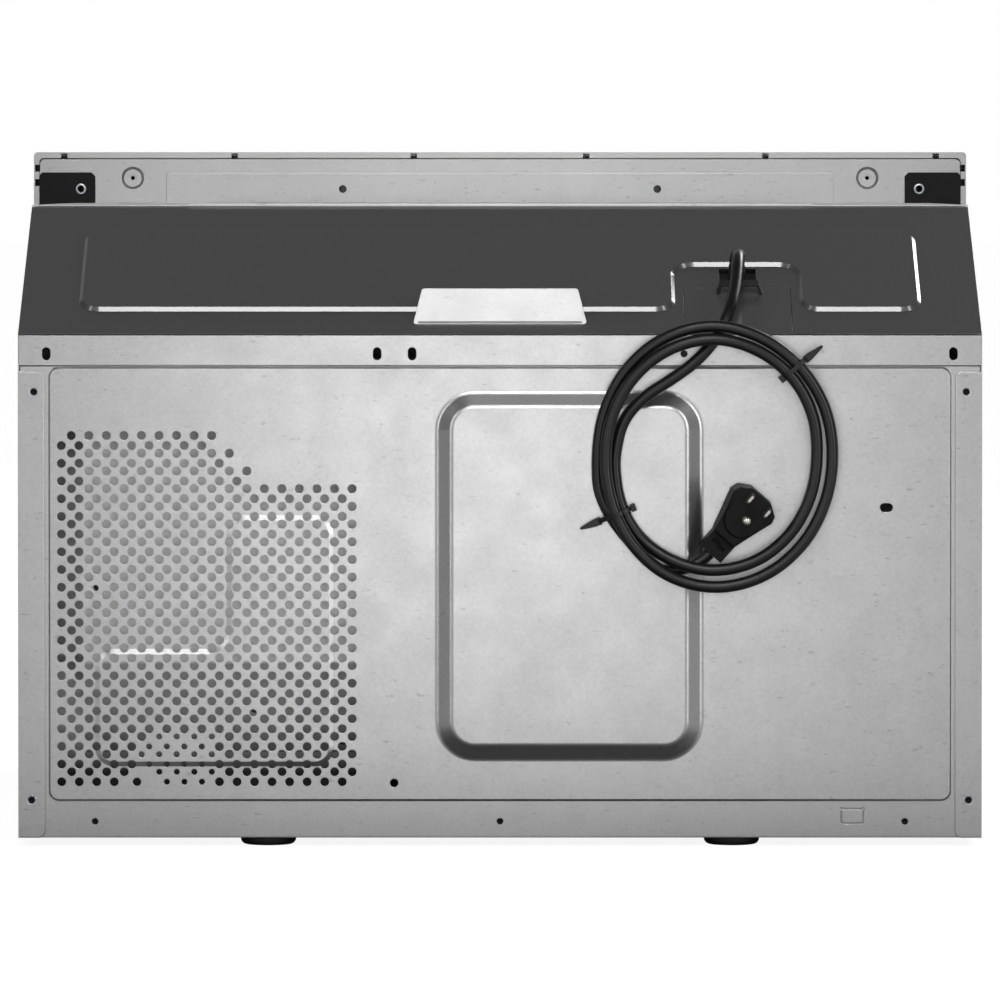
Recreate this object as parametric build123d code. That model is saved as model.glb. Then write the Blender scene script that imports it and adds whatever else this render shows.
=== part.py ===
from build123d import *
import math
import os

# Built-in microwave drawer, in millimetres.
# +X is to the right seen from the front, +Y to the rear, +Z up.
# The origin is on the floor, under the middle of the appliance without its cord.

# Sheet metal and clearances
SHEET = 0.8
GAP = 0.3

# Overall places
FRONT_HALF = 303.0        # half width of the fascia and drawer front
FRONT = -297.0            # front faces
FRAME_FRONT = -267.0      # front frame, front side
FRAME_BACK = FRAME_FRONT + SHEET
FRAME_HALF = 299.0
FRAME_TOP = 397.6
FASCIA_TOP = 402.2
FASCIA_LOW = 330.0
BODY_HALF = 277.5         # half width of the chassis
BODY_FRONT = -264.4
REAR = 291.0              # rear plane
FLOOR = 5.0               # underside of the chassis, on its feet
RAIL_LOW = 277.3          # upper rear rail
RAIL_TOP = 295.7
SLOPE_TOP_Y = 160.0       # sloped cover meets the top cover here
SLOPE_TOP_Z = 369.0
TOP_COVER = 368.4         # underside of the top cover

# Microwave cavity and drawer
CAVITY_HALF = 235.0
CAVITY_FRONT = -265.9
CAVITY_REAR = 180.0
CAVITY_LOW = 75.0
CAVITY_TOP = 275.0
BIN_HALF = 223.0
BIN_FRONT = -267.7
BIN_REAR = 163.0
BIN_LOW = 81.0
BIN_TOP = 236.0
BIN_WALL = 3.0
DOOR_LOW = 12.0
DOOR_TOP = 326.0
CHOKE_BACK = -268.0
FLANGE_FRONT = -286.5     # back plate of the drawer front
WINDOW_HALF = 206.0
WINDOW_LOW = 95.0
WINDOW_TOP = 255.0

# Slides, right side; the left side is its mirror image
SLIDE_FRONT = -260.0
SLIDE_REAR = 170.0
SLIDE_WALL = 1.2
BALL_RADIUS = 2.2

# Rack and gears
RACK_MODULE = 1.5
PINION_TEETH = 16
RACK_PITCH_LINE = 38.0
GEAR_MODULE = 1.0
LARGE_TEETH = 46
MOTOR_TEETH = 14
PRESSURE_ANGLE = math.radians(20)
BACKLASH = 0.3
ADDENDUM = 0.9
DEDENDUM = 1.25
PINION_RADIUS = RACK_MODULE * PINION_TEETH / 2
GEAR_Y = -235.0
GEAR_Z = RACK_PITCH_LINE + PINION_RADIUS
GEAR_CENTRES = GEAR_MODULE * (LARGE_TEETH + MOTOR_TEETH) / 2
AXLE_RADIUS = 3.0
RUNNING = 0.06            # radial clearance of a shaft in its hole

# Cord
CORD = 6.9


# Helpers
def span(x, y, z):
    """A block between the low and high value on each axis."""
    middle = Pos((x[0] + x[1]) / 2, (y[0] + y[1]) / 2, (z[0] + z[1]) / 2)
    return middle * Box(x[1] - x[0], y[1] - y[0], z[1] - z[0])


def rod(radius, start, direction, length):
    """A round bar from a point along a direction."""
    grow = (Align.CENTER, Align.CENTER, Align.MIN)
    return Plane(origin=start, z_dir=direction) * Cylinder(radius, length, align=grow)


def both_sides(piece):
    """A piece and its mirror image across the middle plane."""
    return piece + mirror(piece, Plane.YZ)


def rear_plane(y):
    """A plane that faces the rear; its x runs to -X and its y up."""
    return Plane(origin=(0, y, 0), x_dir=(-1, 0, 0), z_dir=(0, 1, 0))


def rounded(x, z, radius):
    """A rounded rectangle in a rear plane, between two values of X and of Z."""
    middle = Pos(-(x[0] + x[1]) / 2, (z[0] + z[1]) / 2)
    return middle * RectangleRounded(abs(x[1] - x[0]), z[1] - z[0], radius)


def drill(y, x, z, radius, depth=20.0):
    """A round cutter along Y, centred on y."""
    return rod(radius, (x, y - depth / 2, z), (0, 1, 0), depth)


def slot_cutter(plane, x, z, width, height, depth=8.0):
    """A cutter for a slot with round ends in a rear-facing plane."""
    longer = max(width, height)
    shorter = min(width, height)
    turn = 0 if width > height else 90
    outline = plane * Pos(-x, z) * Rot(0, 0, turn) * SlotOverall(longer, shorter)
    return extrude(outline, depth / 2, both=True)


def edges_near(solid, low, high):
    """Edges whose centre lies in a box."""
    found = []
    for edge in solid.edges():
        c = edge.center()
        if all(low[i] <= tuple(c)[i] <= high[i] for i in range(3)):
            found.append(edge)
    return found


def save(name, piece):
    """Write one node."""
    solids = list(piece.solids()) if not isinstance(piece, list) else piece
    whole = solids[0] if len(solids) == 1 else Compound(children=solids)
    export_step(whole, f"parts/{name}.step")


# Rear panel
HOLE_PITCH_X = 10.1
HOLE_PITCH_Z = 10.2
HOLE_RADIUS = 2.5
SMALL_HOLE = 1.7
HOLE_ROWS = 20
HOLE_COLUMNS = 17
LATTICE_X = 246.8
LATTICE_Z = 236.9
LATTICE_SHIFT = 0.567
FIELD_HALF = 260.0
FIELD_LOW = 26.2
FIELD_TOP = 276.4
FIELD_STEP = 1.1
PAD_STEP = 6.0
LOW_STEP = 1.4
BORDER = REAR - FIELD_STEP


def hole_radius(second, column, row):
    """Radius of one air hole, or 0 where the lattice skips it."""
    if second and (column, row) in ((2, 8), (11, 15)):
        return 0
    first_rows = (9, 10, 11)
    limit = first_rows[row] if row < len(first_rows) else HOLE_COLUMNS
    if column >= limit:
        return 0
    if row == HOLE_ROWS - 1 and (column == 4 or (second and column == 5)):
        return 0
    small_from = 4 if row == HOLE_ROWS - 2 and not second else 5
    if row >= HOLE_ROWS - 3 and small_from <= column <= 8:
        return SMALL_HOLE
    return HOLE_RADIUS


def air_holes():
    """All air holes of the rear panel, as one set of cutters."""
    cutters = []
    for second in (False, True):
        shift = LATTICE_SHIFT if second else 0
        for row in range(HOLE_ROWS):
            z = LATTICE_Z - HOLE_PITCH_Z * (row + shift)
            for column in range(HOLE_COLUMNS):
                x = LATTICE_X - HOLE_PITCH_X * (column - shift)
                radius = hole_radius(second, column, row)
                if radius:
                    cutters.append(drill(REAR, x, z, radius, 12))
    cutters.append(drill(REAR, 209.1, 37.3, 2.4, 12))
    return cutters


def field_with_pads(shift):
    """The pressed field and its raised pads, moved along Y."""
    base = span((-276.2, 276.2), (BORDER - 8, BORDER), (5.4, 276.8))
    field = extrude(
        rear_plane(BORDER) * rounded((-FIELD_HALF, FIELD_HALF), (FIELD_LOW, FIELD_TOP), 6),
        FIELD_STEP,
        taper=45,
    )
    big = extrude(
        rear_plane(REAR) * rounded((-115.9, 36.2), (50.5, 261.8), 21.7),
        PAD_STEP,
        taper=53.8,
    )
    solid = base + field + big
    for y in (REAR, REAR + PAD_STEP):
        folds = edges_near(solid, (-117, y - 0.1, 49), (37.5, y + 0.1, 263))
        solid = fillet(folds, 4.5)
    corners = [
        (95.8, 46.3), (95.8, 190.9), (157.3, 190.9),
        (157.3, 113.9), (233.2, 113.9), (233.2, 46.3),
    ]
    outline = make_face(Polyline([(-x, z) for x, z in corners], close=True))
    outline = fillet(outline.vertices(), 11)
    solid = solid + extrude(rear_plane(REAR) * outline, LOW_STEP, taper=63)
    for y in (REAR, REAR + LOW_STEP):
        folds = edges_near(solid, (95, y - 0.1, 45), (234, y + 0.1, 192))
        solid = fillet(folds, 0.5)
    return Pos(0, shift, 0) * solid


def rear_panel():
    """Pressed rear sheet with its pads, air holes and screw holes."""
    wider = span((-280, 280), (BORDER - 20, BORDER - SHEET), (0, 282))
    sheet = field_with_pads(0) - field_with_pads(-SHEET) - wider
    cutters = air_holes()
    for x, z, radius in (
        (232.9, 149, 1.75), (142.2, 77.2, 2), (91.3, 58.2, 1.8), (61, 36.7, 2.4),
        (268.4, 262.1, 1.9), (-268.4, 262.1, 1.9), (269.9, 26.8, 1.9), (-269.9, 26.8, 1.9),
        (233.3, 14.4, 1.9), (0, 14.4, 1.9), (-233.3, 14.4, 1.9),
    ):
        cutters.append(drill(REAR, x, z, radius, 12))
    sheet = sheet - cutters
    sheet = sheet - slot_cutter(rear_plane(REAR), -222.4, 195.4, 7.4, 5)
    knockout = rounded((-209.7, -196.4), (12.9, 22), 1.5)
    knockout = knockout - rounded((-209.0, -197.1), (13.6, 21.3), 1.2)
    sheet = sheet - extrude(rear_plane(BORDER - 0.6) * knockout, 2)
    for x in (-209.4, -196.7):
        sheet = sheet - rod(0.8, (x, BORDER - 0.6, 21.7), (0, 1, 0), 2)
    return sheet


# Chassis
SLOPE_ANGLE = math.atan2(SLOPE_TOP_Z - RAIL_TOP, REAR - SLOPE_TOP_Y)
SLOPE_LENGTH = math.hypot(SLOPE_TOP_Z - RAIL_TOP, REAR - SLOPE_TOP_Y)
SLOPE = Plane(
    origin=(0, REAR, RAIL_TOP),
    x_dir=(-1, 0, 0),
    z_dir=(0, math.sin(SLOPE_ANGLE), math.cos(SLOPE_ANGLE)),
)


def on_slope(x, up, out):
    """A block on the slope: X range, range up the slope, range outward."""
    flipped = (-x[1], -x[0])
    return SLOPE * span(flipped, up, out)


def base_pan():
    """Floor of the chassis with its upturned edges, two beads and air slots."""
    side = BODY_HALF - SHEET - GAP
    rear = BORDER - SHEET - GAP
    pan = span((-side, side), (BODY_FRONT, rear), (FLOOR, 23))
    inner = span((-side + SHEET, side - SHEET), (BODY_FRONT + SHEET, rear - SHEET), (FLOOR + SHEET, 24))
    pan = pan - inner
    for x in (-233.3, 0, 233.3):
        pan = pan - drill(rear, x, 14.4, 1.9, 4)
    for x in (-190, 190):
        bead = Pos(x, 20, FLOOR) * SlotOverall(300, 22, rotation=90)
        raised = extrude(bead, 3.5, taper=45)
        pan = pan + raised - Pos(0, 0, -SHEET) * raised
    slots = [Pos(110 + 9 * i, 200, FLOOR) * SlotOverall(60, 4, rotation=90) for i in range(8)]
    for slot in slots:
        pan = pan - extrude(slot, 4, both=True)
    return pan


def side_panel():
    """Right side sheet with its folded rear strip."""
    steep = math.tan(SLOPE_ANGLE)
    under = RAIL_TOP - (SHEET + GAP) / math.cos(SLOPE_ANGLE)
    top = TOP_COVER - GAP
    outline = Polyline(
        [
            (BODY_FRONT, FLOOR), (REAR, FLOOR), (REAR, 273.9), (BORDER, 273.9),
            (BORDER, under + (REAR - BORDER) * steep), (REAR - (top - under) / steep, top), (BODY_FRONT, top),
        ],
        close=True,
    )
    sheet = extrude(Plane.YZ.offset(BODY_HALF - SHEET) * make_face(outline), SHEET)
    strip = span((262, BODY_HALF), (REAR - SHEET, REAR), (FLOOR, 273.9))
    piece = sheet + strip
    piece = fillet(edges_near(piece, (261.9, REAR - 0.5, 0), (262.1, REAR - 0.3, 275)), 4)
    piece = fillet(edges_near(piece, (261.9, REAR - 0.01, 0), (267, REAR + 0.01, 275)), 0.6)
    front = span((268, BODY_HALF), (BODY_FRONT, BODY_FRONT + SHEET), (110, 360))
    piece = piece + front
    for x, z in ((268.4, 262.1), (269.9, 26.8)):
        piece = piece - drill(REAR, x, z, 2.2)
    for i in range(9):
        vent = Pos(BODY_HALF, 150 + 11 * i, 150) * Box(6, 5, 60)
        piece = piece - vent
    return piece


def rear_upper_rail():
    """Strip above the rear panel, with its slots and the flange under the cover."""
    strip = span((-277, 277), (REAR - SHEET, REAR), (RAIL_LOW, RAIL_TOP - 1.2))
    lip = on_slope((-276, 276), (-0.5, 14), (-SHEET - GAP - SHEET, -SHEET - GAP))
    rail = strip + lip
    for x in (261.1, 70.7, 50.6, -260.9):
        rail = rail - slot_cutter(rear_plane(REAR), x, 284, 4.8, 7.4)
    rail = rail - drill(REAR, -105.9, 284, 2)
    return rail - span((-156.2, -151.7), (REAR - 3, REAR + 1), (RAIL_TOP - 5.4, RAIL_TOP))


RAISE = 2.0
PLATE_X = (-168.8, -106.4)
PLATE_UP = 52.0
APERTURE_X = (-149.1, -127.8)
APERTURE_UP = (56.0, 75.2)


def cover_field():
    """The sloped sheet's outer form, with its raised field."""
    base = span((-277.3, 277.3), (0, SLOPE_LENGTH - 1.7), (-6, 0))
    corners = [
        (-244, 25.1), (-244, 119), (244, 119), (244, 25.1),
        (-101.5, 25.1), (-101.5, 77), (-173.5, 77), (-173.5, 25.1),
    ]
    outline = make_face(Polyline([(-x, up) for x, up in corners], close=True))
    outline = fillet(outline.vertices(), 12)
    raised = extrude(outline, RAISE, taper=45)
    return base + raised


def sloped_cover():
    """Black sloped sheet with its raised field, plate notch and cord aperture."""
    outer = cover_field()
    under = span((-280, 280), (-2, SLOPE_LENGTH + 2), (-9, -SHEET))
    sheet = outer - Pos(0, 0, -SHEET) * outer - under
    notch = span((-PLATE_X[1], -PLATE_X[0]), (-2, PLATE_UP + GAP), (-4, 4))
    opening = span((-APERTURE_X[1], -APERTURE_X[0]), APERTURE_UP, (-4, 4))
    return SLOPE * (sheet - notch - opening)


def cord_plate():
    """Black plate set into the sloped cover below the cord."""
    plate = on_slope((PLATE_X[0] + GAP, PLATE_X[1] - GAP), (0, PLATE_UP), (-SHEET, 0))
    hook = span((-156, -151.9), (REAR - 0.8, REAR - 0.2), (RAIL_TOP - 5, RAIL_TOP - 0.3))
    return plate + hook


def strain_relief():
    """Bridge over the cord plate and the rubber block that the cord leaves."""
    foot, crown, height, deep = 13.3, 11.0, 6.4, (44.5, 50.5)
    middle = 139.1
    outer = [(-foot, 0), (-crown, height), (crown, height), (foot, 0)]
    inner = [(-foot + 1.3, 0), (-crown + 0.9, height - 1.2), (crown - 0.9, height - 1.2), (foot - 1.3, 0)]
    arch = make_face(Polyline(outer + inner[::-1], close=True))
    section = Plane(origin=(middle, deep[1], 0), x_dir=(1, 0, 0), z_dir=(0, -1, 0))
    bridge = SLOPE * extrude(section * arch, deep[1] - deep[0])
    block = on_slope((-148.6, -128.3), (58, 74.7), (-14, -3))
    return [bridge.solids()[0], block.solids()[0]]


def top_cover():
    """Flat top sheet with its raised middle and vents."""
    side = BODY_HALF - 0.2
    sheet = span((-side, side), (BODY_FRONT, SLOPE_TOP_Y + 1.5), (TOP_COVER, TOP_COVER + SHEET))
    rise = 0.9
    low = span((-185, 185), (BODY_FRONT + 20, SLOPE_TOP_Y + 1.5), (TOP_COVER, TOP_COVER + SHEET + rise))
    hollow = span((-184.2, 184.2), (BODY_FRONT + 20.8, SLOPE_TOP_Y + 0.7), (TOP_COVER - 1, TOP_COVER + rise))
    cover = sheet + low - hollow
    for i in range(12):
        for x in (-120, 120):
            vent = Pos(x, -150 + 14 * i, TOP_COVER) * SlotOverall(70, 4)
            cover = cover - extrude(vent, 5, both=True)
    return cover


BRACKET_UP = 10.0


def anti_tip_bracket():
    """Upright folded plate on the sloped cover, on a short foot."""
    foot_z = RAIL_TOP + BRACKET_UP * math.sin(SLOPE_ANGLE)
    foot_y = REAR - BRACKET_UP * math.cos(SLOPE_ANGLE)
    lean = math.radians(20)
    face = Plane(
        origin=(0, foot_y, foot_z),
        x_dir=(-1, 0, 0),
        z_dir=(0, math.cos(lean), math.sin(lean)),
    )
    outline = Polyline([(-50.3, 0.2), (-45, 22.2), (45, 22.2), (50.3, 0.2)], close=True)
    plate = make_face(outline)
    plate = fillet(plate.vertices(), 1.8)
    thick = 1.2
    upright = face * extrude(plate, -5)
    inner = make_face(Polyline([(-48.9, -3), (-43.9, 21), (43.9, 21), (48.9, -3)], close=True))
    hollow = face * Pos(0, 0, -thick) * extrude(inner, -6)
    foot = on_slope((-47, 47), (BRACKET_UP + 0.6, 23.6), (0.1, 0.1 + thick))
    hollow = hollow - foot
    bracket = (upright - hollow) - on_slope((-60, 60), (0, 40), (-8, 0.1))
    bracket = bracket + foot
    for x in (-30, 30):
        hole = SLOPE * Pos(-x, 18.4, 0) * Cylinder(2.2, 8)
        bracket = bracket - hole
    return bracket


# Front frame, fascia and control panel
def dimple(x, z, y, small, large, deep):
    """A cone along Y that starts at y with its small end."""
    grow = (Align.CENTER, Align.CENTER, Align.MIN)
    return Plane(origin=(x, y, z), z_dir=(0, 1, 0)) * Cone(small, large, deep, align=grow)


def front_frame():
    """Steel frame behind the drawer front and fascia."""
    plate = extrude(rear_plane(FRAME_FRONT) * rounded((-FRAME_HALF, FRAME_HALF), (12, FRAME_TOP), 3), SHEET)
    rim_out = rounded((-FRAME_HALF, FRAME_HALF), (12, FRAME_TOP), 3)
    rim_in = rounded((-FRAME_HALF + SHEET, FRAME_HALF - SHEET), (12 + SHEET, FRAME_TOP - SHEET), 2.3)
    rim = Pos(0, -5, 0) * extrude(rear_plane(FRAME_FRONT) * (rim_out - rim_in), 5)
    frame = plate + rim
    depth = (FRAME_FRONT - 3, FRAME_BACK + 3)
    frame = frame - span((-231, 231), depth, (79, 271))
    frame = frame - span((-150, 150), depth, (338, 362))
    frame = frame - span((-9, 9), depth, (23, 42))
    for side in (-1, 1):
        near, far = sorted((side * 254, side * 274.5))
        frame = frame - span((near, far), depth, (62, 99))
        near, far = sorted((side * 208, side * 222))
        frame = frame - span((near, far), depth, (300, 316))
        frame = frame + dimple(side * 238.7, 385.4, FRAME_FRONT - 2, 7.0, 9.0, 2.5)
        frame = frame - dimple(side * 238.7, 385.4, FRAME_BACK - 1.9, 5.6, 7.5, 2.0)
        frame = frame - drill(FRAME_BACK - 1.9, side * 238.7, 385.4, 2.45, 0.9)
        frame = frame - drill(FRAME_BACK, side * 238.7, 385.4, 1.3)
        for z in (60, 300):
            frame = frame - drill(FRAME_FRONT, side * 290, z, 2.6)
        frame = frame - drill(FRAME_FRONT, side * 272.3, 378.4, 3.5)
        frame = frame - drill(FRAME_FRONT, side * 102.2, 378.2, 2.5)
    return frame


def frame_stiffener():
    """Thicker plate across the top of the front frame."""
    outline = rounded((-217, 217), (366, 389), 2)
    plate = extrude(rear_plane(FRAME_BACK) * outline, 1.6)
    plate = fillet(plate.edges().group_by(Axis.Y)[-1], 0.5)
    for side in (-1, 1):
        plate = plate - drill(FRAME_BACK, side * 102.2, 378.2, 2.5)
    return plate


def corner_bracket():
    """Dark plate at the upper right corner of the frame."""
    outline = Polyline(
        [(-263, 366), (-263, 386.5), (-265.5, 389), (-297.5, 389), (-299.4, 387), (-299.4, 366)],
        close=True,
    )
    plate = extrude(rear_plane(FRAME_BACK) * make_face(outline), 1.2)
    return plate - drill(FRAME_BACK, 272.3, 378.4, 3.5)


def fascia_trim():
    """Stainless surround of the control panel with folded lips."""
    across = (-FRONT_HALF, FRONT_HALF)
    outer = extrude(rear_plane(FRONT) * rounded(across, (FASCIA_LOW, FASCIA_TOP), 2.5), FRAME_BACK - FRONT)
    inside = (-FRONT_HALF + SHEET, FRONT_HALF - SHEET)
    tall = (FASCIA_LOW + SHEET, FASCIA_TOP - SHEET)
    inner = extrude(rear_plane(FRONT + 1) * rounded(inside, tall, 1.8), FRAME_BACK - FRONT - 1 - SHEET)
    mouth = extrude(rear_plane(FRAME_BACK - 2) * rounded((-299.4, 299.4), (320, 398.4), 2.8), 8)
    trim = outer - inner - mouth
    trim = trim - span((-310, 310), (FRAME_FRONT - 5.6, 0), (FASCIA_LOW - 1, FASCIA_LOW + 4))
    trim = trim - extrude(rear_plane(FRONT - 1) * rounded((-288, 288), (338, 396), 3), 4)
    lip = (FRAME_BACK - SHEET - 0.1, FRAME_BACK + 1)
    for x in (56.0, 172.5, 283.2):
        for side in (-1, 1):
            trim = trim - span((side * x - 2.1, side * x + 2.1), lip, (398, FASCIA_TOP - SHEET))
    for low, high in ((380.2, 384.7), (389.5, 394.0)):
        for side in (-1, 1):
            near, far = sorted((side * 299, side * (FRONT_HALF - SHEET)))
            trim = trim - span((near, far), lip, (low, high))
    return trim


def control_glass():
    """Glass of the control panel, flush in the fascia."""
    glass = extrude(rear_plane(FRONT) * rounded((-287.6, 287.6), (338.4, 395.6), 2.6), 4)
    glass = glass - extrude(rear_plane(FRONT - 1) * rounded((-36, 36), (354, 383), 2), 1.3)
    for i in range(5):
        for x in (-70 - 28 * i, 70 + 28 * i):
            glass = glass - drill(FRONT, x, 368, 6, 0.6)
    return glass


def control_board():
    """Circuit board with a display block and a few parts."""
    board = span((-112, 112), (-290.6, -289), (345, 390))
    display = span((-35, 35), (-292.6, -290.6), (355, 382))
    board = board + display
    for i in range(5):
        chip = span((-85 + 36 * i, -70 + 36 * i), (-289, -285.5), (350, 362))
        board = board + chip
    return board


# Cavity and the microwave parts around it
STIRRER_Y = -60.0
DOME_TOP = 287.0
GUIDE_LOW = 287.3
GUIDE_TOP = 317.3
ANTENNA_Y = 226.0


def cavity_shell():
    """Oven box, open at the front, with the stirrer dome above it."""
    box = span((-CAVITY_HALF, CAVITY_HALF), (CAVITY_FRONT, CAVITY_REAR), (CAVITY_LOW, CAVITY_TOP))
    dome = rod(85, (0, STIRRER_Y, CAVITY_TOP), (0, 0, 1), DOME_TOP - CAVITY_TOP)
    inner_half = CAVITY_HALF - SHEET
    depth = (CAVITY_FRONT - 1, CAVITY_REAR - SHEET)
    inside = span((-inner_half, inner_half), depth, (CAVITY_LOW + SHEET, CAVITY_TOP - SHEET))
    rise = DOME_TOP - CAVITY_TOP + 2 - SHEET
    dome_inside = rod(85 - SHEET, (0, STIRRER_Y, CAVITY_TOP - 2), (0, 0, 1), rise)
    shell = box + dome - inside - dome_inside
    shell = shell - rod(12, (0, STIRRER_Y, DOME_TOP - 3), (0, 0, 1), 6)
    shell = shell - span((-30, 30), (STIRRER_Y + 24, STIRRER_Y + 52), (DOME_TOP - 3, DOME_TOP + 3))
    for row in range(4):
        for column in range(6):
            y = 20 + 9 * column
            z = 225 + 9 * row
            shell = shell - rod(2, (-CAVITY_HALF - 3, y, z), (1, 0, 0), 8)
            shell = shell - rod(2, (CAVITY_HALF - 5, y, z), (1, 0, 0), 8)
    return shell


def stirrer_cover():
    """Plate that closes the stirrer dome from below."""
    return span((-95, 95), (STIRRER_Y - 95, STIRRER_Y + 95), (272.9, 273.9))


def stirrer_blade():
    """Four tilted vanes on a hub and shaft."""
    shaft = rod(3, (0, STIRRER_Y, 277), (0, 0, 1), 47)
    hub = rod(8, (0, STIRRER_Y, 277), (0, 0, 1), 8)
    blade = shaft + hub
    for i in range(4):
        vane = Pos(0, STIRRER_Y, 281) * Rot(0, 0, 90 * i) * Pos(39, 0, 0) * Rot(10, 0, 0) * Box(66, 30, 0.8)
        blade = blade + vane
    return blade


def waveguide():
    """Closed channel from the magnetron to the dome."""
    tube = span((-43, 43), (-115, 242), (GUIDE_LOW, GUIDE_TOP))
    tube = tube - span((-42, 42), (-114, 241), (GUIDE_LOW + 1, GUIDE_TOP - 1))
    tube = tube - rod(12, (0, STIRRER_Y, GUIDE_LOW - 3), (0, 0, 1), 6)
    tube = tube - rod(4.5, (0, STIRRER_Y, GUIDE_TOP - 3), (0, 0, 1), 6)
    tube = tube - span((-30, 30), (STIRRER_Y + 24, STIRRER_Y + 52), (GUIDE_LOW - 3, GUIDE_LOW + 3))
    return tube - rod(13, (0, ANTENNA_Y, GUIDE_LOW - 3), (0, 0, 1), 6)


def stirrer_motor():
    """Small motor on the waveguide that turns the stirrer."""
    body = rod(22, (0, STIRRER_Y, GUIDE_TOP + 0.2), (0, 0, 1), 20)
    ears = span((-30, 30), (STIRRER_Y - 8, STIRRER_Y + 8), (GUIDE_TOP + 0.2, GUIDE_TOP + 1.4))
    motor = body + ears
    return motor - rod(3 + RUNNING, (0, STIRRER_Y, GUIDE_TOP - 1), (0, 0, 1), 9)


def magnetron():
    """Magnetron with its yoke, anode, fins, filter box and antenna."""
    low, high = 214.0, 286.9
    yoke = span((-46, 46), (192, 260), (low, high)) - span((-60, 60), (194, 258), (low + 2, high - 2))
    anode = rod(21, (0, ANTENNA_Y, low + 1), (0, 0, 1), high - low - 2)
    tube = yoke + anode
    for i in range(9):
        z = low + 10 + 6.5 * i
        tube = tube + span((-42, 42), (193, 259), (z, z + 0.8))
    filter_box = span((-32, 32), (197, 255), (184, low))
    antenna = rod(7.5, (0, ANTENNA_Y, high - 1), (0, 0, 1), 20)
    return tube + filter_box + antenna


def transformer_core():
    """Laminated core with its mounting foot."""
    core = span((-172, -80), (204, 264), (8, 78))
    core = core - span((-156, -141), (190, 280), (22, 64)) - span((-111, -96), (190, 280), (22, 64))
    foot = span((-182, -70), (208, 260), (FLOOR + SHEET, 8))
    core = core + foot
    for x in (-177, -75):
        for y in (216, 252):
            core = core - rod(2.5, (x, y, 0), (0, 0, 1), 12)
    return core


def transformer_coils():
    """Primary and secondary windings round the middle limb."""
    coils = []
    for low, high in ((22.5, 40), (44, 63.5)):
        outer = Pos(-126, 234, low) * RectangleRounded(58.4, 88, 8)
        inner = Pos(-126, 234, low) * RectangleRounded(30.6, 60.6, 0.5)
        coils.append(extrude(outer - inner, high - low).solids()[0])
    return coils


def hv_capacitor():
    """Oval can with two terminals."""
    can = extrude(Pos(-35, 233, FLOOR + SHEET + 0.2) * SlotOverall(52, 32), 96)
    can = fillet(can.edges().group_by(Axis.Z)[-1], 2)
    for x in (-45, -25):
        can = can + span((x - 3, x + 3), (232.6, 233.4), (100, 110))
    return can


def capacitor_strap():
    """Band round the capacitor with a foot on the base."""
    ring = SlotOverall(54.4, 34.4) - SlotOverall(52.4, 32.4)
    band = extrude(Pos(-35, 233, 40) * ring, 14)
    leg = span((-7.9, -6.8), (226, 240), (FLOOR + SHEET, 54))
    foot = span((-7.9, 8), (226, 240), (FLOOR + SHEET, FLOOR + SHEET + 1.1))
    return band + leg + foot


FAN_X = 82.0
FAN_Y = 229.0
FAN_Z = 238.0


def fan_housing():
    """Square duct round the fan, with the arms that hold its motor."""
    outer = span((FAN_X - 18, FAN_X + 18), (FAN_Y - 43, FAN_Y + 43), (FAN_Z - 43, FAN_Z + 43))
    housing = outer - rod(40, (FAN_X - 20, FAN_Y, FAN_Z), (1, 0, 0), 40)
    arm = span((FAN_X + 15, FAN_X + 18), (FAN_Y - 41, FAN_Y + 41), (FAN_Z - 3, FAN_Z + 3))
    arms = arm + Pos(FAN_X, FAN_Y, FAN_Z) * Rot(90, 0, 0) * Pos(-FAN_X, -FAN_Y, -FAN_Z) * arm
    arms = arms + rod(20, (FAN_X + 15, FAN_Y, FAN_Z), (1, 0, 0), 3)
    arms = arms - rod(6, (FAN_X, FAN_Y, FAN_Z), (1, 0, 0), 30)
    return housing + arms


def fan_blade():
    """Hub with seven swept blades and its shaft."""
    hub = rod(13, (FAN_X - 12, FAN_Y, FAN_Z), (1, 0, 0), 22)
    shaft = rod(2.5, (FAN_X + 5, FAN_Y, FAN_Z), (1, 0, 0), 27)
    fan = hub + shaft
    for i in range(7):
        vane = Rot(360 / 7 * i, 0, 0) * Pos(-1, 0, 24) * Rot(0, 0, 38) * Box(1.4, 24, 27)
        fan = fan + Pos(FAN_X, FAN_Y, FAN_Z) * vane
    limit = rod(38, (FAN_X - 17, FAN_Y, FAN_Z), (1, 0, 0), 60)
    return fan & limit


def fan_motor():
    """Motor behind the fan arms."""
    body = rod(19, (FAN_X + 18.2, FAN_Y, FAN_Z), (1, 0, 0), 26)
    body = body + span((FAN_X + 24, FAN_X + 38), (FAN_Y - 25, FAN_Y + 25), (FAN_Z - 14, FAN_Z + 14))
    return body - rod(2.5 + RUNNING, (FAN_X, FAN_Y, FAN_Z), (1, 0, 0), 33)


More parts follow.
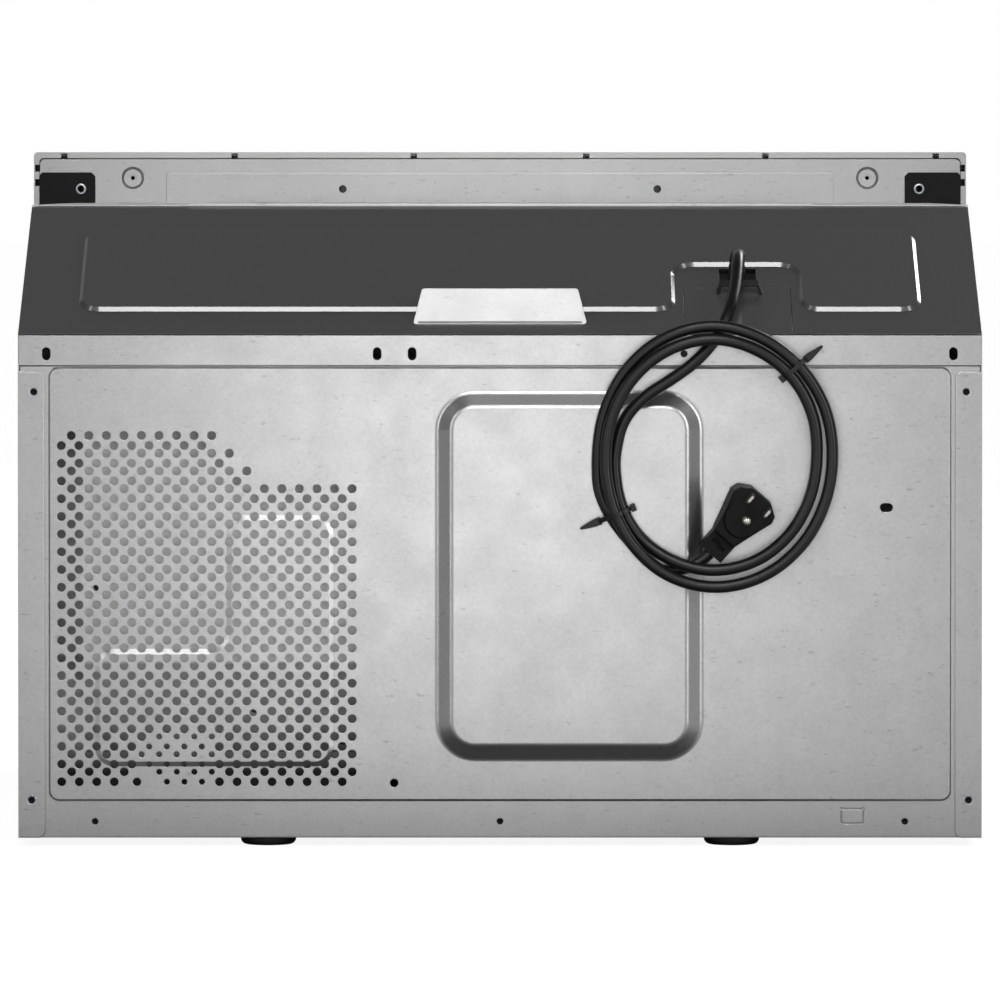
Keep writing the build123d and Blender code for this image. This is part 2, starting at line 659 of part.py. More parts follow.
def intake_baffle():
    """Air baffle behind the air holes, its lower part and outer side bent away."""
    back, low, bend = 274.7, 252.0, 105.0
    outline = [
        (low, 50), (low, 52), (back, bend), (back, 240),
        (back + SHEET, 240), (back + SHEET, bend - 0.3), (low + SHEET, 51.7), (low + SHEET, 50),
    ]
    plate = extrude(Plane.YZ.offset(81) * make_face(Polyline(outline, close=True)), 159)
    outline = [(184, 50), (low + 0.3, 50), (low + 0.3, 52), (back + 0.3, bend), (back + 0.3, 190), (184, 190)]
    piece = plate + extrude(Plane.YZ.offset(81) * make_face(Polyline(outline, close=True)), SHEET)
    piece = piece + span((81, 258.5), (low, low + SHEET), (FLOOR + SHEET + 0.2, 51))
    wing = [
        (239.8, back), (258.5, back - 14), (258.5, back - 14 + SHEET), (239.8, back + SHEET),
    ]
    piece = piece + extrude(Plane.XY.offset(108) * make_face(Polyline(wing, close=True)), 132)
    piece = piece + span((239.8, 258.5), (low, low + SHEET), (50.5, 110))
    for x, z in ((232.9, 149), (142.2, 77.2), (91.3, 58.2)):
        piece = piece - drill(263, x, z, 2.2, 40)
    return piece


def filter_board():
    """Mains filter board on the back of the cavity."""
    board = span((-195, -115), (186, 187.6), (200, 270))
    choke = rod(13, (-172, 187.6, 235), (0, 1, 0), 18) - rod(5, (-172, 186, 235), (0, 1, 0), 30)
    block = span((-150, -128), (187.6, 205), (214, 246))
    relay = span((-150, -128), (187.6, 203), (250, 264))
    posts = []
    for x in (-190, -120):
        for z in (205, 265):
            posts.append(rod(2.5, (x, CAVITY_REAR + 0.2, z), (0, 1, 0), 5.8))
    piece = board + choke + block + relay
    for post in posts:
        piece = piece + post
    return piece


def oven_lamp():
    """Lamp in its socket on the side of the cavity."""
    socket = span((CAVITY_HALF + GAP, 240), (35, 75), (180, 210)) + rod(10, (239, 55, 195), (1, 0, 0), 8)
    bulb = rod(7, (246, 55, 195), (1, 0, 0), 12)
    return socket + fillet(bulb.edges().group_by(Axis.X)[-1], 5)


def interlock_switches():
    """Three small switches above the latch hooks."""
    switches = []
    for low in (-225.5, -214.5, 209.5):
        body = span((low, low + 10.3), (-263, -235), (317.5, 333.5))
        lever = span((low + 3, low + 7.3), (-262, -240), (313.6, 314.2))
        root = span((low + 3, low + 7.3), (-242, -240), (313.6, 318))
        switches.append((body + lever + root).solids()[0])
    return switches


# Drawer drive
def involute(angle):
    """The involute function."""
    return math.tan(angle) - angle


def gear_face(module, teeth, tooth_at):
    """Outline of a spur gear whose first tooth points at an angle."""
    pitch = module * teeth / 2
    base = pitch * math.cos(PRESSURE_ANGLE)
    tip = pitch + ADDENDUM * module
    root = pitch - DEDENDUM * module
    half_tooth = math.pi / (2 * teeth) - BACKLASH / (4 * pitch)

    def flank(radius):
        pressure = math.acos(min(1.0, base / radius))
        return half_tooth + involute(PRESSURE_ANGLE) - involute(pressure)

    start = max(base, root)
    middle = (start + tip) / 2
    edges = []
    step = 2 * math.pi / teeth

    def point(radius, angle):
        return (radius * math.cos(angle), radius * math.sin(angle))

    for i in range(teeth):
        at = tooth_at + i * step
        rise = [point(r, at - flank(r)) for r in (start, middle, tip)]
        fall = [point(r, at + flank(r)) for r in (tip, middle, start)]
        if start > root:
            edges.append(Line(point(root, at - flank(start)), rise[0]))
        edges.append(ThreePointArc(*rise))
        edges.append(ThreePointArc(rise[2], point(tip, at), fall[0]))
        edges.append(ThreePointArc(*fall))
        if start > root:
            edges.append(Line(fall[2], point(root, at + flank(start))))
        valley = (at + flank(start), at + step / 2, at + step - flank(start))
        edges.append(ThreePointArc(*[point(root, angle) for angle in valley]))
    return make_face(edges)


def gear(module, teeth, tooth_at, centre, x):
    """A spur gear with its axis along X."""
    plane = Plane(origin=(x[0], centre[0], centre[1]), x_dir=(0, 1, 0), z_dir=(1, 0, 0))
    return extrude(plane * gear_face(module, teeth, tooth_at), x[1] - x[0])


def drive_gear():
    """Pinion and large gear in one piece on their axle."""
    down = -math.pi / 2
    pinion = gear(RACK_MODULE, PINION_TEETH, down, (GEAR_Y, GEAR_Z), (-5, 5))
    large = gear(GEAR_MODULE, LARGE_TEETH, 0.0, (GEAR_Y, GEAR_Z), (7, 13))
    hub = rod(9, (4, GEAR_Y, GEAR_Z), (1, 0, 0), 4)
    axle = rod(AXLE_RADIUS, (-11.8, GEAR_Y, GEAR_Z), (1, 0, 0), 27)
    return pinion + large + hub + axle


def motor_gear():
    """Small gear on the motor shaft."""
    centre = (GEAR_Y + GEAR_CENTRES, GEAR_Z)
    small = gear(GEAR_MODULE, MOTOR_TEETH, math.pi + math.pi / MOTOR_TEETH, centre, (7, 13))
    shaft = rod(2.5, (6.5, centre[0], centre[1]), (1, 0, 0), 18)
    return small + shaft


def drive_motor():
    """Geared motor that drives the drawer."""
    y = GEAR_Y + GEAR_CENTRES
    body = rod(17, (15.9, y, GEAR_Z), (1, 0, 0), 42)
    cap = rod(9, (57, y, GEAR_Z), (1, 0, 0), 6)
    return body + cap - rod(2.5 + RUNNING, (14, y, GEAR_Z), (1, 0, 0), 16)


def drive_bracket():
    """Bracket that holds the axle, the motor and a rest under the rack."""
    bottom = FLOOR + SHEET
    plate = span((-12, 15.6), (-262, -180), (bottom, bottom + 1.2))
    near = span((-12, -10.6), (-247, -223), (bottom, GEAR_Z + 8))
    far = span((14.2, 15.6), (-247, -188), (bottom, GEAR_Z + 8))
    rest = span((-6, 6), (-225, -190), (bottom, 25.6))
    bracket = plate + near + far + rest
    bracket = bracket - rod(AXLE_RADIUS + RUNNING, (-14, GEAR_Y, GEAR_Z), (1, 0, 0), 40)
    return bracket - rod(4, (13, GEAR_Y + GEAR_CENTRES, GEAR_Z), (1, 0, 0), 5)


def rack():
    """Toothed bar under the cavity, fixed to the drawer front."""
    pitch = math.pi * RACK_MODULE
    top = RACK_PITCH_LINE + ADDENDUM * RACK_MODULE
    root = RACK_PITCH_LINE - DEDENDUM * RACK_MODULE
    lean = math.tan(PRESSURE_ANGLE)
    half = pitch / 4 - BACKLASH / 4
    half_top = half - (top - RACK_PITCH_LINE) * lean
    half_root = half + (RACK_PITCH_LINE - root) * lean
    first = -3
    count = 85
    outline = [(-284.5, 26.0), (-284.5, root)]
    for i in range(first, first + count):
        middle = GEAR_Y + (i + 0.5) * pitch
        outline += [
            (middle - half_root, root), (middle - half_top, top),
            (middle + half_top, top), (middle + half_root, root),
        ]
    rear = outline[-1][0] + 6
    outline += [(rear, root), (rear, 26.0)]
    bar = extrude(Plane.YZ.offset(-5.5) * make_face(Polyline(outline, close=True)), 11)
    foot = span((-20, 20), (-285.3, -283.8), (18, 46))
    return bar + foot


# Slides, right side
def slide_outer():
    """Fixed member, against the side panel."""
    channel = span((263, 276.4), (SLIDE_FRONT, SLIDE_REAR), (58, 103))
    hollow = (58 + SLIDE_WALL, 103 - SLIDE_WALL)
    return channel - span((262, 276.4 - SLIDE_WALL), (SLIDE_FRONT - 1, SLIDE_REAR + 1), hollow)


def slide_middle():
    """Middle member, which moves half as far as the drawer."""
    channel = span((262, 272.8), (SLIDE_FRONT - 2, SLIDE_REAR), (64, 97))
    hollow = (64 + SLIDE_WALL, 97 - SLIDE_WALL)
    return channel - span((261, 272.8 - SLIDE_WALL), (SLIDE_FRONT - 3, SLIDE_REAR + 1), hollow)


def slide_inner():
    """Member that carries the drawer."""
    channel = span((258, 269), (CHOKE_BACK, SLIDE_REAR - 8), (70, 91))
    hollow = (70 + SLIDE_WALL, 91 - SLIDE_WALL)
    return channel - span((258 + SLIDE_WALL, 270), (CHOKE_BACK + 1.2, SLIDE_REAR), hollow)


def slide_balls():
    """Balls between the slide members."""
    balls = []
    for side in (-1, 1):
        for i in range(6):
            for z in (61.6, 99.4):
                balls.append(Pos(side * 267.5, -60 + 40 * i, z) * Sphere(BALL_RADIUS))
            for z in (67.6, 93.4):
                balls.append(Pos(side * 265.5, -250 + 40 * i, z) * Sphere(BALL_RADIUS))
    return [ball.solids()[0] for ball in balls]


# Drawer
def drawer_bin():
    """Open-topped bin that slides in the cavity, with rear glides."""
    bin_box = span((-BIN_HALF, BIN_HALF), (BIN_FRONT, BIN_REAR), (BIN_LOW, BIN_TOP))
    bin_box = fillet(edges_near(bin_box, (-224, 160, 150), (224, 166, 170)), 22)
    across = (-BIN_HALF + BIN_WALL, BIN_HALF - BIN_WALL)
    inner = span(across, (BIN_FRONT + BIN_WALL, BIN_REAR - BIN_WALL), (BIN_LOW + BIN_WALL, BIN_TOP + 40))
    inner = fillet(edges_near(inner, (-224, 155, 120), (224, 166, 240)), 19)
    inner = fillet([e for e in inner.edges() if e.center().Z < BIN_LOW + BIN_WALL + 0.1], 6)
    depth = (BIN_FRONT - 1, BIN_FRONT + BIN_WALL + 1)
    front = span((-WINDOW_HALF, WINDOW_HALF), depth, (112, BIN_TOP + 1))
    shell = bin_box - inner - front
    for x in (-190, 190):
        glide = span((x - 8, x + 8), (120, 145), (CAVITY_LOW + SHEET + GAP, BIN_LOW + 0.5))
        shell = shell + glide
    return shell


def ceramic_tray():
    """Flat glass-ceramic tray on the bin's floor."""
    plate = Pos(0, -50, BIN_LOW + BIN_WALL + 0.2) * RectangleRounded(416, 396, 24)
    return fillet(extrude(plate, 5).edges().group_by(Axis.Z)[-1], 1.5)


def choke_frame():
    """Frame of the drawer front with its choke channel round the window."""
    window = rounded((-WINDOW_HALF, WINDOW_HALF), (WINDOW_LOW, WINDOW_TOP), 6)
    face = rear_plane(FLANGE_FRONT) * (rounded((-262, 262), (50, 302), 8) - window)
    ring = extrude(face, CHOKE_BACK - FLANGE_FRONT)
    flange = extrude(rear_plane(FLANGE_FRONT) * (rounded((-300, 300), (15, 323), 4) - window), 1.2)
    frame = ring + flange
    groove = rounded((-252, 252), (60, 292), 6) - rounded((-218, 218), (84, 266), 6)
    frame = frame - extrude(rear_plane(CHOKE_BACK - 12) * groove, 14)
    seat = rounded((-212.3, 212.3), (88.7, 261.3), 6)
    return frame - extrude(rear_plane(CHOKE_BACK - 3) * seat, 5)


def door_pane(half, low, high, front, thick, radius):
    """A rounded plate in the drawer front."""
    return extrude(rear_plane(front) * rounded((-half, half), (low, high), radius), thick)


def door_screen():
    """Metal screen with rows of holes."""
    plate = door_pane(230, 75, 275, FLANGE_FRONT - 0.8, 0.6, 4)
    holes = []
    for column in range(24):
        for row in range(9):
            holes.append(drill(FLANGE_FRONT, -184 + 16 * column, 111 + 16 * row, 3.5, 6))
    return plate - holes


def door_skin():
    """Stainless front with a window and folded edges."""
    outer = extrude(rear_plane(FRONT) * rounded((-FRONT_HALF, FRONT_HALF), (DOOR_LOW, DOOR_TOP), 3), 24)
    inside = rounded((-FRONT_HALF + 1, FRONT_HALF - 1), (DOOR_LOW + 1, DOOR_TOP - 1), 2.2)
    inner = extrude(rear_plane(FRONT + 1) * inside, 24)
    window = extrude(rear_plane(FRONT - 1) * rounded((-205, 205), (96, 254), 5), 4)
    return outer - inner - window


def latch_hooks():
    """Two hooks on the drawer front that press the switches."""
    hooks = []
    for x in (-215, 215):
        bar = span((x - 4, x + 4), (FLANGE_FRONT + 1.2, -246), (304, 311.5))
        bar = bar + span((x - 4, x + 4), (-252, -246), (304, 313.2))
        hooks.append(bar.solids()[0])
    return hooks


# Feet and fasteners
def feet():
    """Four rubber feet."""
    pads = []
    for x in (-134, 134):
        for y in (-230, 270):
            pad = rod(16, (x, y, 0), (0, 0, 1), FLOOR)
            pads.append(fillet(pad.edges().group_by(Axis.Z)[0], 3.2).solids()[0])
    return pads


def fasteners():
    """Rear panel screws and the rivet nuts of the corner brackets."""
    pieces = []
    for x, z in ((268.4, 262.1), (269.9, 26.8)):
        for side in (-1, 1):
            pieces.append(drill(REAR - 1.8, side * x, z, 1.5, 3.2))
    for x in (-233.3, 0, 233.3):
        pieces.append(drill(BORDER - 1.2, x, 14.4, 1.55, 2.0))
    for side in (-1, 1):
        nut = drill(FRAME_BACK + 0.4, side * 272.3, 378.4, 3.4, 2.2)
        nut = nut - drill(FRAME_BACK, side * 272.3, 378.4, 2.0, 10)
        pieces.append(nut)
    return [piece.solids()[0] for piece in pieces]


# Cord: lead-in stretch, loops, plug and ties
EXIT_UP = 69.2            # place of the cord's exit on the slope
EXIT_LOW = -3.0
EXIT_X = -138.0
ROUTE = [
    tuple(SLOPE.from_local_coords((-EXIT_X, EXIT_UP, EXIT_LOW))),
    tuple(SLOPE.from_local_coords((-EXIT_X, EXIT_UP, EXIT_LOW + 8.4))),
    (-138.2, 243.8, 340.8),
    (-137.9, 255.6, 339.4),
    (-136.2, 275.0, 324.4),
    (-132.4, 295.0, 309.3),
    (-125.3, 303.4, 294.4),
    (-113.2, 304.2, 280.2),
    (-98.0, 303.6, 269.2),
    (-84.4, 303.0, 260.9),
    (-74.6, 302.5, 251.6),
    (-69.2, 302.2, 242.0),
    (-66.7, 302.0, 230.6),
    (-66.7, 302.0, 220.0),
]


def route_radii(points):
    """The largest arc that each corner of a route allows."""
    radii = []
    for a, b, c in zip(points, points[1:], points[2:]):
        into = b - a
        out = c - b
        turn = math.radians(into.get_angle(out))
        radii.append(0.45 * min(into.length, out.length) / math.tan(turn / 2))
    return radii


def cord_lead():
    """The cord from the rubber block to the loops."""
    points = [Vector(*point) for point in ROUTE]
    path = FilletPolyline(*points, radius=route_radii(points))
    start = Plane(origin=path @ 0, z_dir=path % 0)
    return sweep(start * Circle(CORD / 2), path=path)


def biarc(start, start_way, end, end_way):
    """Two tangent arcs from one point and direction to another."""
    p, q = Vector(*start), Vector(*end)
    u, v = Vector(*start_way).normalized(), Vector(*end_way).normalized()
    chord = q - p
    t = u + v
    dot = chord.dot(t)
    turn = 2 * (1 - u.dot(v))
    if turn < 1e-6:
        reach = chord.dot(chord) / (2 * dot)
    else:
        reach = (-dot + math.sqrt(dot * dot + turn * chord.dot(chord))) / turn
    joint = (p + q + (u - v) * reach) * 0.5
    middle_way = (q - v * reach) - (p + u * reach)
    first = TangentArc(p, joint, tangent=u)
    return [first, TangentArc(joint, q, tangent=middle_way)]


# Each turn of the loops: left, bottom, right and top places as (x, y, z)
LEFT, DOWN, RIGHT, UP = (1, 0, 0), (0, 0, -1), (-1, 0, 0), (0, 0, 1)
LOOPS = [
    ((-66.7, 302.0, 213.0), DOWN),
    ((-81.0, 302.4, 178.6), (-0.62, 0, -0.78)),
    ((-122.5, 311.2, 160.4), RIGHT),
    ((-181.1, 309.0, 232.0), UP),
    ((-124.8, 312.7, 292.9), LEFT),
    ((-60.8, 310.0, 226.0), DOWN),
    ((-122.5, 310.8, 150.6), RIGHT),
    ((-190.0, 309.0, 229.0), UP),
    ((-126.5, 309.7, 300.5), LEFT),
    ((-57.0, 302.0, 226.0), DOWN),
    ((-92.5, 301.4, 158.9), RIGHT),
]
PLUG_ANGLE = math.radians(48.7)
PLUG_WAY = (-math.cos(PLUG_ANGLE), 0, math.sin(PLUG_ANGLE))
PLUG_ENTRY = Vector(-120.4, 300.4, 169.6)


def cord_loops():
    """The two and a half loops, from the lead to the plug."""
    start = ROUTE[-1]
    straight_end = PLUG_ENTRY - Vector(*PLUG_WAY) * CORD
    edges = [Line(start, LOOPS[0][0])]
    for (a, way_a), (b, way_b) in zip(LOOPS, LOOPS[1:]):
        edges += biarc(a, way_a, b, way_b)
    edges += biarc(LOOPS[-1][0], LOOPS[-1][1], tuple(straight_end), PLUG_WAY)
    edges.append(Line(straight_end, PLUG_ENTRY))
    path = Wire(edges)
    solid = sweep(Plane(origin=start, z_dir=DOWN) * Circle(CORD / 2), path=path)
    return solid, path


def least_gap(path):
    """Least gap of the loops to themselves, measured on points."""
    step = 1.5
    count = int(path.length / step)
    points = [path.position_at(i / count) for i in range(count + 1)]
    apart = int(3 * CORD / step)
    least = min(
        (points[i] - points[j]).length
        for i in range(0, count + 1, 2)
        for j in range(i + apart, count + 1)
    )
    return least - CORD


def plug_frame():
    """Plane at the plug's cord end: x along its axis, z towards its prongs."""
    tilt = math.radians(5)
    across = Vector(-math.sin(PLUG_ANGLE), 0, -math.cos(PLUG_ANGLE))
    out = Vector(0, 1, 0) * math.cos(tilt) + across * math.sin(tilt)
    return Plane(origin=PLUG_ENTRY, x_dir=PLUG_WAY, z_dir=out)


HEAD_BACK = -7.2
HEAD_FRONT = 10.5
BLADE_X = (36.1, 42.5)
BLADE_SPREAD = 6.35
PIN_X = 28.3
PIN_RADIUS = 2.38


def plug_body():
    """Moulded flat-angle plug: head, grip and cord end."""
    corners = [(11, 7.6), (36.5, 15.4), (41, 14.0), (45.2, 7.4)]
    outline = [(x, -y) for x, y in corners] + corners[::-1]
    face = make_face(Polyline(outline, close=True))
    face = fillet(face.vertices(), 2)
    head = Pos(0, 0, HEAD_BACK) * extrude(face, HEAD_FRONT - HEAD_BACK - 1.2, taper=3)
    head = fillet(head.edges().group_by(Axis.Z)[-1] + head.edges().group_by(Axis.Z)[0], 1.0)
    nose = rod(10, (27, 0, HEAD_FRONT - 2.5), (0, 0, 1), 2.5)
    corners = [(27, 10), (36.6, 14.1), (40.6, 12.9), (44.2, 6.9)]
    tip = make_face(Polyline([(x, -y) for x, y in corners] + corners[::-1], close=True))
    nose = nose + Pos(0, 0, HEAD_FRONT - 2.5) * extrude(tip, 2.5)
    grip = span((0, 12), (-7.8, 7.8), (-5.6, 5.2))
    neck = loft([
        Plane(origin=(11.9, 0, -0.2), x_dir=(0, 1, 0), z_dir=(1, 0, 0)) * Rectangle(15.6, 10.8),
        Plane(origin=(24, 0, 0.6), x_dir=(0, 1, 0), z_dir=(1, 0, 0)) * Rectangle(21, 17),
    ])
    ring = rod(10.9, (27, 0, HEAD_FRONT - 2.4), (0, 0, 1), 4)
    body = (head - ring) + nose + grip + neck
    body = body - span((6.6, 8.8), (-0.2, 4.6), (2.8, 6)) - span((5.4, 7.6), (-4.6, 0.2), (2.8, 6))
    for y in (-BLADE_SPREAD, BLADE_SPREAD):
        body = body - span(BLADE_X, (y - 0.75, y + 0.75), (HEAD_FRONT - 4, HEAD_FRONT + 1))
    body = body - rod(PIN_RADIUS, (PIN_X, 0, HEAD_FRONT - 4), (0, 0, 1), 8)
    return plug_frame() * body


def plug_prongs():
    """Two blades and the ground pin."""
    prongs = []
    for y in (-BLADE_SPREAD, BLADE_SPREAD):
        blade = span(BLADE_X, (y - 0.75, y + 0.75), (HEAD_FRONT - 4, HEAD_FRONT + 15.9))
        prongs.append(chamfer(blade.edges().filter_by(Axis.Y).group_by(Axis.Z)[-1], 1.2))
    pin = rod(PIN_RADIUS, (PIN_X, 0, HEAD_FRONT - 4), (0, 0, 1), 22.6)
    prongs.append(fillet(pin.edges().group_by(Axis.Z)[-1], 2.0))
    frame = plug_frame()
    return [(frame * prong).solids()[0] for prong in prongs]


def strands_at(path, point, normal, within):
    """Places where the loops cross a plane near a point."""
    count = 1200
    found = []
    before = path.position_at(0)
    for i in range(1, count + 1):
        here = path.position_at(i / count)
        a = (before - point).dot(normal)
        b = (here - point).dot(normal)
        if a * b <= 0 and (here - point).length < within:
            found.append(before + (here - before) * (abs(a) / (abs(a) + abs(b))))
        before = here
    return found


def nearest_way(path, point):
    """Direction of the strand that passes nearest to a point."""
    shares = [i / 800 for i in range(801)]
    nearest = min(shares, key=lambda share: (path.position_at(share) - point).length)
    return path.tangent_at(nearest)


def cable_tie(path, head, tail, within):
    """A band round the strands between two points, with its knob and tail."""
    head, tail = Vector(*head), Vector(*tail)
    middle = (head + tail) * 0.5
    along = nearest_way(path, middle)
    across = tail - head
    across = (across - along * across.dot(along)).normalized()
    plane = Plane(origin=middle - along * 1.25, x_dir=across, z_dir=along)
    places = [plane.to_local_coords(point) for point in strands_at(path, middle, along, within)]

    def hull(radius):
        circles = [Pos(place.X, place.Y) * Circle(radius) for place in places]
        return make_hull([circle.edges()[0] for circle in circles])

    wide = 2.6
    band = extrude(plane * (hull(CORD / 2 + 1.3) - hull(CORD / 2 + 0.4)), wide)
    outer = max(places, key=lambda place: place.X)
    inner = min(places, key=lambda place: place.X)
    far = outer.X + CORD / 2 + 0.7
    near = inner.X - CORD / 2 - 1.0
    half_widths = [(far - 1, 2.3), (far + 3, 2.2), (far + 11, 0.9), (far + 12, 0.5)]
    points = [(x, wide / 2 - half) for x, half in half_widths]
    points += [(x, wide / 2 + half) for x, half in reversed(half_widths)]
    flat = Plane(origin=(0, outer.Y + 0.5, 0), x_dir=(1, 0, 0), z_dir=(0, -1, 0))
    tail = plane * extrude(flat * make_face(Polyline(points, close=True)), 1)
    knob = plane * span((near - 2.6, near + 0.3), (inner.Y - 1.9, inner.Y + 1.9), (-0.9, 3.5))
    return (band + tail + knob).solids()[0]


def build():
    """Make every piece and write it."""
    os.makedirs("parts", exist_ok=True)
    save("base_pan", base_pan())
    side = side_panel()
    save("side_panel_right", side)
    save("side_panel_left", mirror(side, Plane.YZ))
    save("rear_panel", rear_panel())
    save("rear_upper_rail", rear_upper_rail())
    save("sloped_cover", sloped_cover())
    save("cord_plate", cord_plate())
    save("strain_relief", strain_relief())
    save("top_cover", top_cover())
    save("anti_tip_bracket", anti_tip_bracket())
    save("front_frame", front_frame())
    save("frame_stiffener", frame_stiffener())
    save("corner_brackets", [corner_bracket().solids()[0], mirror(corner_bracket(), Plane.YZ).solids()[0]])
    save("fascia_trim", fascia_trim())
    save("control_glass", control_glass())
    save("control_board", control_board())
    save("cavity_shell", cavity_shell())
    save("stirrer_cover", stirrer_cover())
    save("stirrer_blade", stirrer_blade())
    save("waveguide", waveguide())
    save("stirrer_motor", stirrer_motor())
    save("magnetron", magnetron())
    save("transformer_core", transformer_core())
    save("transformer_coils", transformer_coils())
    save("hv_capacitor", hv_capacitor())
    save("capacitor_strap", capacitor_strap())
    save("fan_housing", fan_housing())
    save("fan_blade", fan_blade())
    save("fan_motor", fan_motor())
    save("intake_baffle", intake_baffle())
    save("filter_board", filter_board())
    save("oven_lamp", oven_lamp())
    save("interlock_switches", interlock_switches())
    save("drive_gear", drive_gear())
    save("motor_gear", motor_gear())
    save("drive_motor", drive_motor())
    save("drive_bracket", drive_bracket())
    save("rack", rack())
    for name, piece in (("outer", slide_outer()), ("middle", slide_middle()), ("inner", slide_inner())):
        save(f"slide_{name}_right", piece)
        save(f"slide_{name}_left", mirror(piece, Plane.YZ))
    save("slide_balls", slide_balls())
    save("drawer_bin", drawer_bin())
    save("ceramic_tray", ceramic_tray())
    save("choke_frame", choke_frame())
    save("inner_glass", door_pane(212, 89, 261, CHOKE_BACK - 3, 3, 5.7))
    save("door_screen", door_screen())
    save("outer_glass", door_pane(215, 86, 264, FRONT + 1.1, 4, 6))
    save("door_skin", door_skin())
    save("latch_hooks", latch_hooks())
    save("feet", feet())
    save("fasteners", fasteners())
    save("cord_lead", cord_lead())
    loops, path = cord_loops()
    print("least gap", round(least_gap(path), 2))
    save("cord_loops", loops)
    save("plug_body", plug_body())
    save("plug_prongs", plug_prongs())
    ties = [
        cable_tie(path, (-162.6, 310, 270.3), (-180.0, 310, 285.6), 16),
        cable_tie(path, (-77.5, 306, 197.2), (-58.5, 306, 188.0), 16),
    ]
    save("cable_ties", ties)


build()
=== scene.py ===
"""A built-in microwave drawer, seen from the rear, dressed over its CAD model."""

import logging
import math
from dataclasses import dataclass
from enum import Enum
from typing import Any, Mapping, Sequence

import bmesh
import bpy
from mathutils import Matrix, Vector


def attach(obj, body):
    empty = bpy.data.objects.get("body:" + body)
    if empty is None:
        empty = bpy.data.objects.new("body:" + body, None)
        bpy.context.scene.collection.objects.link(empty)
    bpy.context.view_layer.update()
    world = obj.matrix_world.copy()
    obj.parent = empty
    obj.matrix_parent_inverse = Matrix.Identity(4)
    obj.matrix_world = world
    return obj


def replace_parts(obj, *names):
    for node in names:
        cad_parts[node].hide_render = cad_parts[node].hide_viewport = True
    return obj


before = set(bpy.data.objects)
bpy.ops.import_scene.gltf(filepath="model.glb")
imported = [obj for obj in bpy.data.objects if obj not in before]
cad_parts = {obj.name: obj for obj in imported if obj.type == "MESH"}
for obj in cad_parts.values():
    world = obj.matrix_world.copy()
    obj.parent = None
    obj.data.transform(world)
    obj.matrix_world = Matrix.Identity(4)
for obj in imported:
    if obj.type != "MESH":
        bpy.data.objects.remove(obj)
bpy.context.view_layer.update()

MM = 0.001
CABINET = "cabinet"
log = logging.getLogger("microwave_drawer")

# The sum of two noises runs over about this range.
PATCH_RANGE = (0.4, 1.6)
# A single noise hardly leaves this range.
NOISE_RANGE = (0.15, 0.85)
# Only the peaks of the fleck noise show, and never at full strength.
FLECK_RANGE = (0.62, 0.74)
FLECK_SHARE = 0.8
# Smears on glass: the upper half of the noise.
SMEAR_RANGE = (0.45, 0.75)
LEAST_ROUGHNESS = 0.02
RELIEF_STRENGTH = 0.6
# Layers of wire: how strong their relief is, and how deep as a share of a layer.
WOUND_STRENGTH = 0.8
WOUND_DEPTH = 0.2
# A wave texture of scale 1 has its bands 2 pi / 20 apart.
WAVE_SCALE = 2 * math.pi / 20
# The rings of a screw's profile that form its six-sided socket.
SOCKET_RINGS = (8, 9, 10)


# Shader helpers


def linear(hex_colour: str) -> tuple[float, float, float, float]:
    """Turns an sRGB hex colour into Blender's linear colour.

    Args:
        hex_colour: six hex digits, with or without a leading hash.

    Returns:
        Red, green, blue and an alpha of 1.
    """
    digits = hex_colour.lstrip("#")
    channels = [int(digits[i : i + 2], 16) / 255 for i in (0, 2, 4)]
    curve = [c / 12.92 if c <= 0.04045 else ((c + 0.055) / 1.055) ** 2.4 for c in channels]
    return (curve[0], curve[1], curve[2], 1.0)


def add_node(
    tree: bpy.types.NodeTree,
    kind: str,
    settings: Mapping[str, Any] | None = None,
    inputs: Mapping[str | int, Any] | None = None,
) -> bpy.types.Node:
    """Adds one node with its settings and links.

    Args:
        tree: the node tree to add to.
        kind: Blender's name for the node type.
        settings: attributes of the node itself.
        inputs: values or output sockets for its inputs, by name or number.

    Returns:
        The new node.
    """
    node = tree.nodes.new(kind)
    for name, value in (settings or {}).items():
        setattr(node, name, value)
    for key, value in (inputs or {}).items():
        socket = node.inputs[key]
        if isinstance(value, bpy.types.NodeSocket):
            tree.links.new(value, socket)
        else:
            socket.default_value = value
    return node


def ramp(
    tree: bpy.types.NodeTree,
    value: bpy.types.NodeSocket,
    source: tuple[float, float],
    target: tuple[float, float],
    curve: str = "LINEAR",
) -> bpy.types.NodeSocket:
    """Maps one range of a value to another, clamped at both ends.

    Args:
        tree: the node tree to add to.
        value: the value to map.
        source: the range that it comes in.
        target: the range that it leaves in.
        curve: Blender's name for the way between the ends.

    Returns:
        The mapped value.
    """
    ends = {
        "From Min": source[0],
        "From Max": source[1],
        "To Min": target[0],
        "To Max": target[1],
    }
    settings = {"clamp": True, "interpolation_type": curve}
    return add_node(
        tree, "ShaderNodeMapRange", settings, {"Value": value, **ends}
    ).outputs["Result"]


def noise(
    tree: bpy.types.NodeTree,
    place: bpy.types.NodeSocket,
    size_mm: float,
    detail: float,
    roughness: float = 0.5,
) -> bpy.types.NodeSocket:
    """Adds a noise with spots of a real size.

    Args:
        tree: the node tree to add to.
        place: the position on the object, in metres.
        size_mm: the distance from one spot to the next.
        detail: how many finer layers lie on it.
        roughness: how strong the finer layers are.

    Returns:
        The noise, about 0 to 1.
    """
    inputs = {
        "Vector": place,
        "Scale": 1 / (size_mm * MM),
        "Detail": detail,
        "Roughness": roughness,
    }
    return add_node(tree, "ShaderNodeTexNoise", {}, inputs).outputs["Fac"]


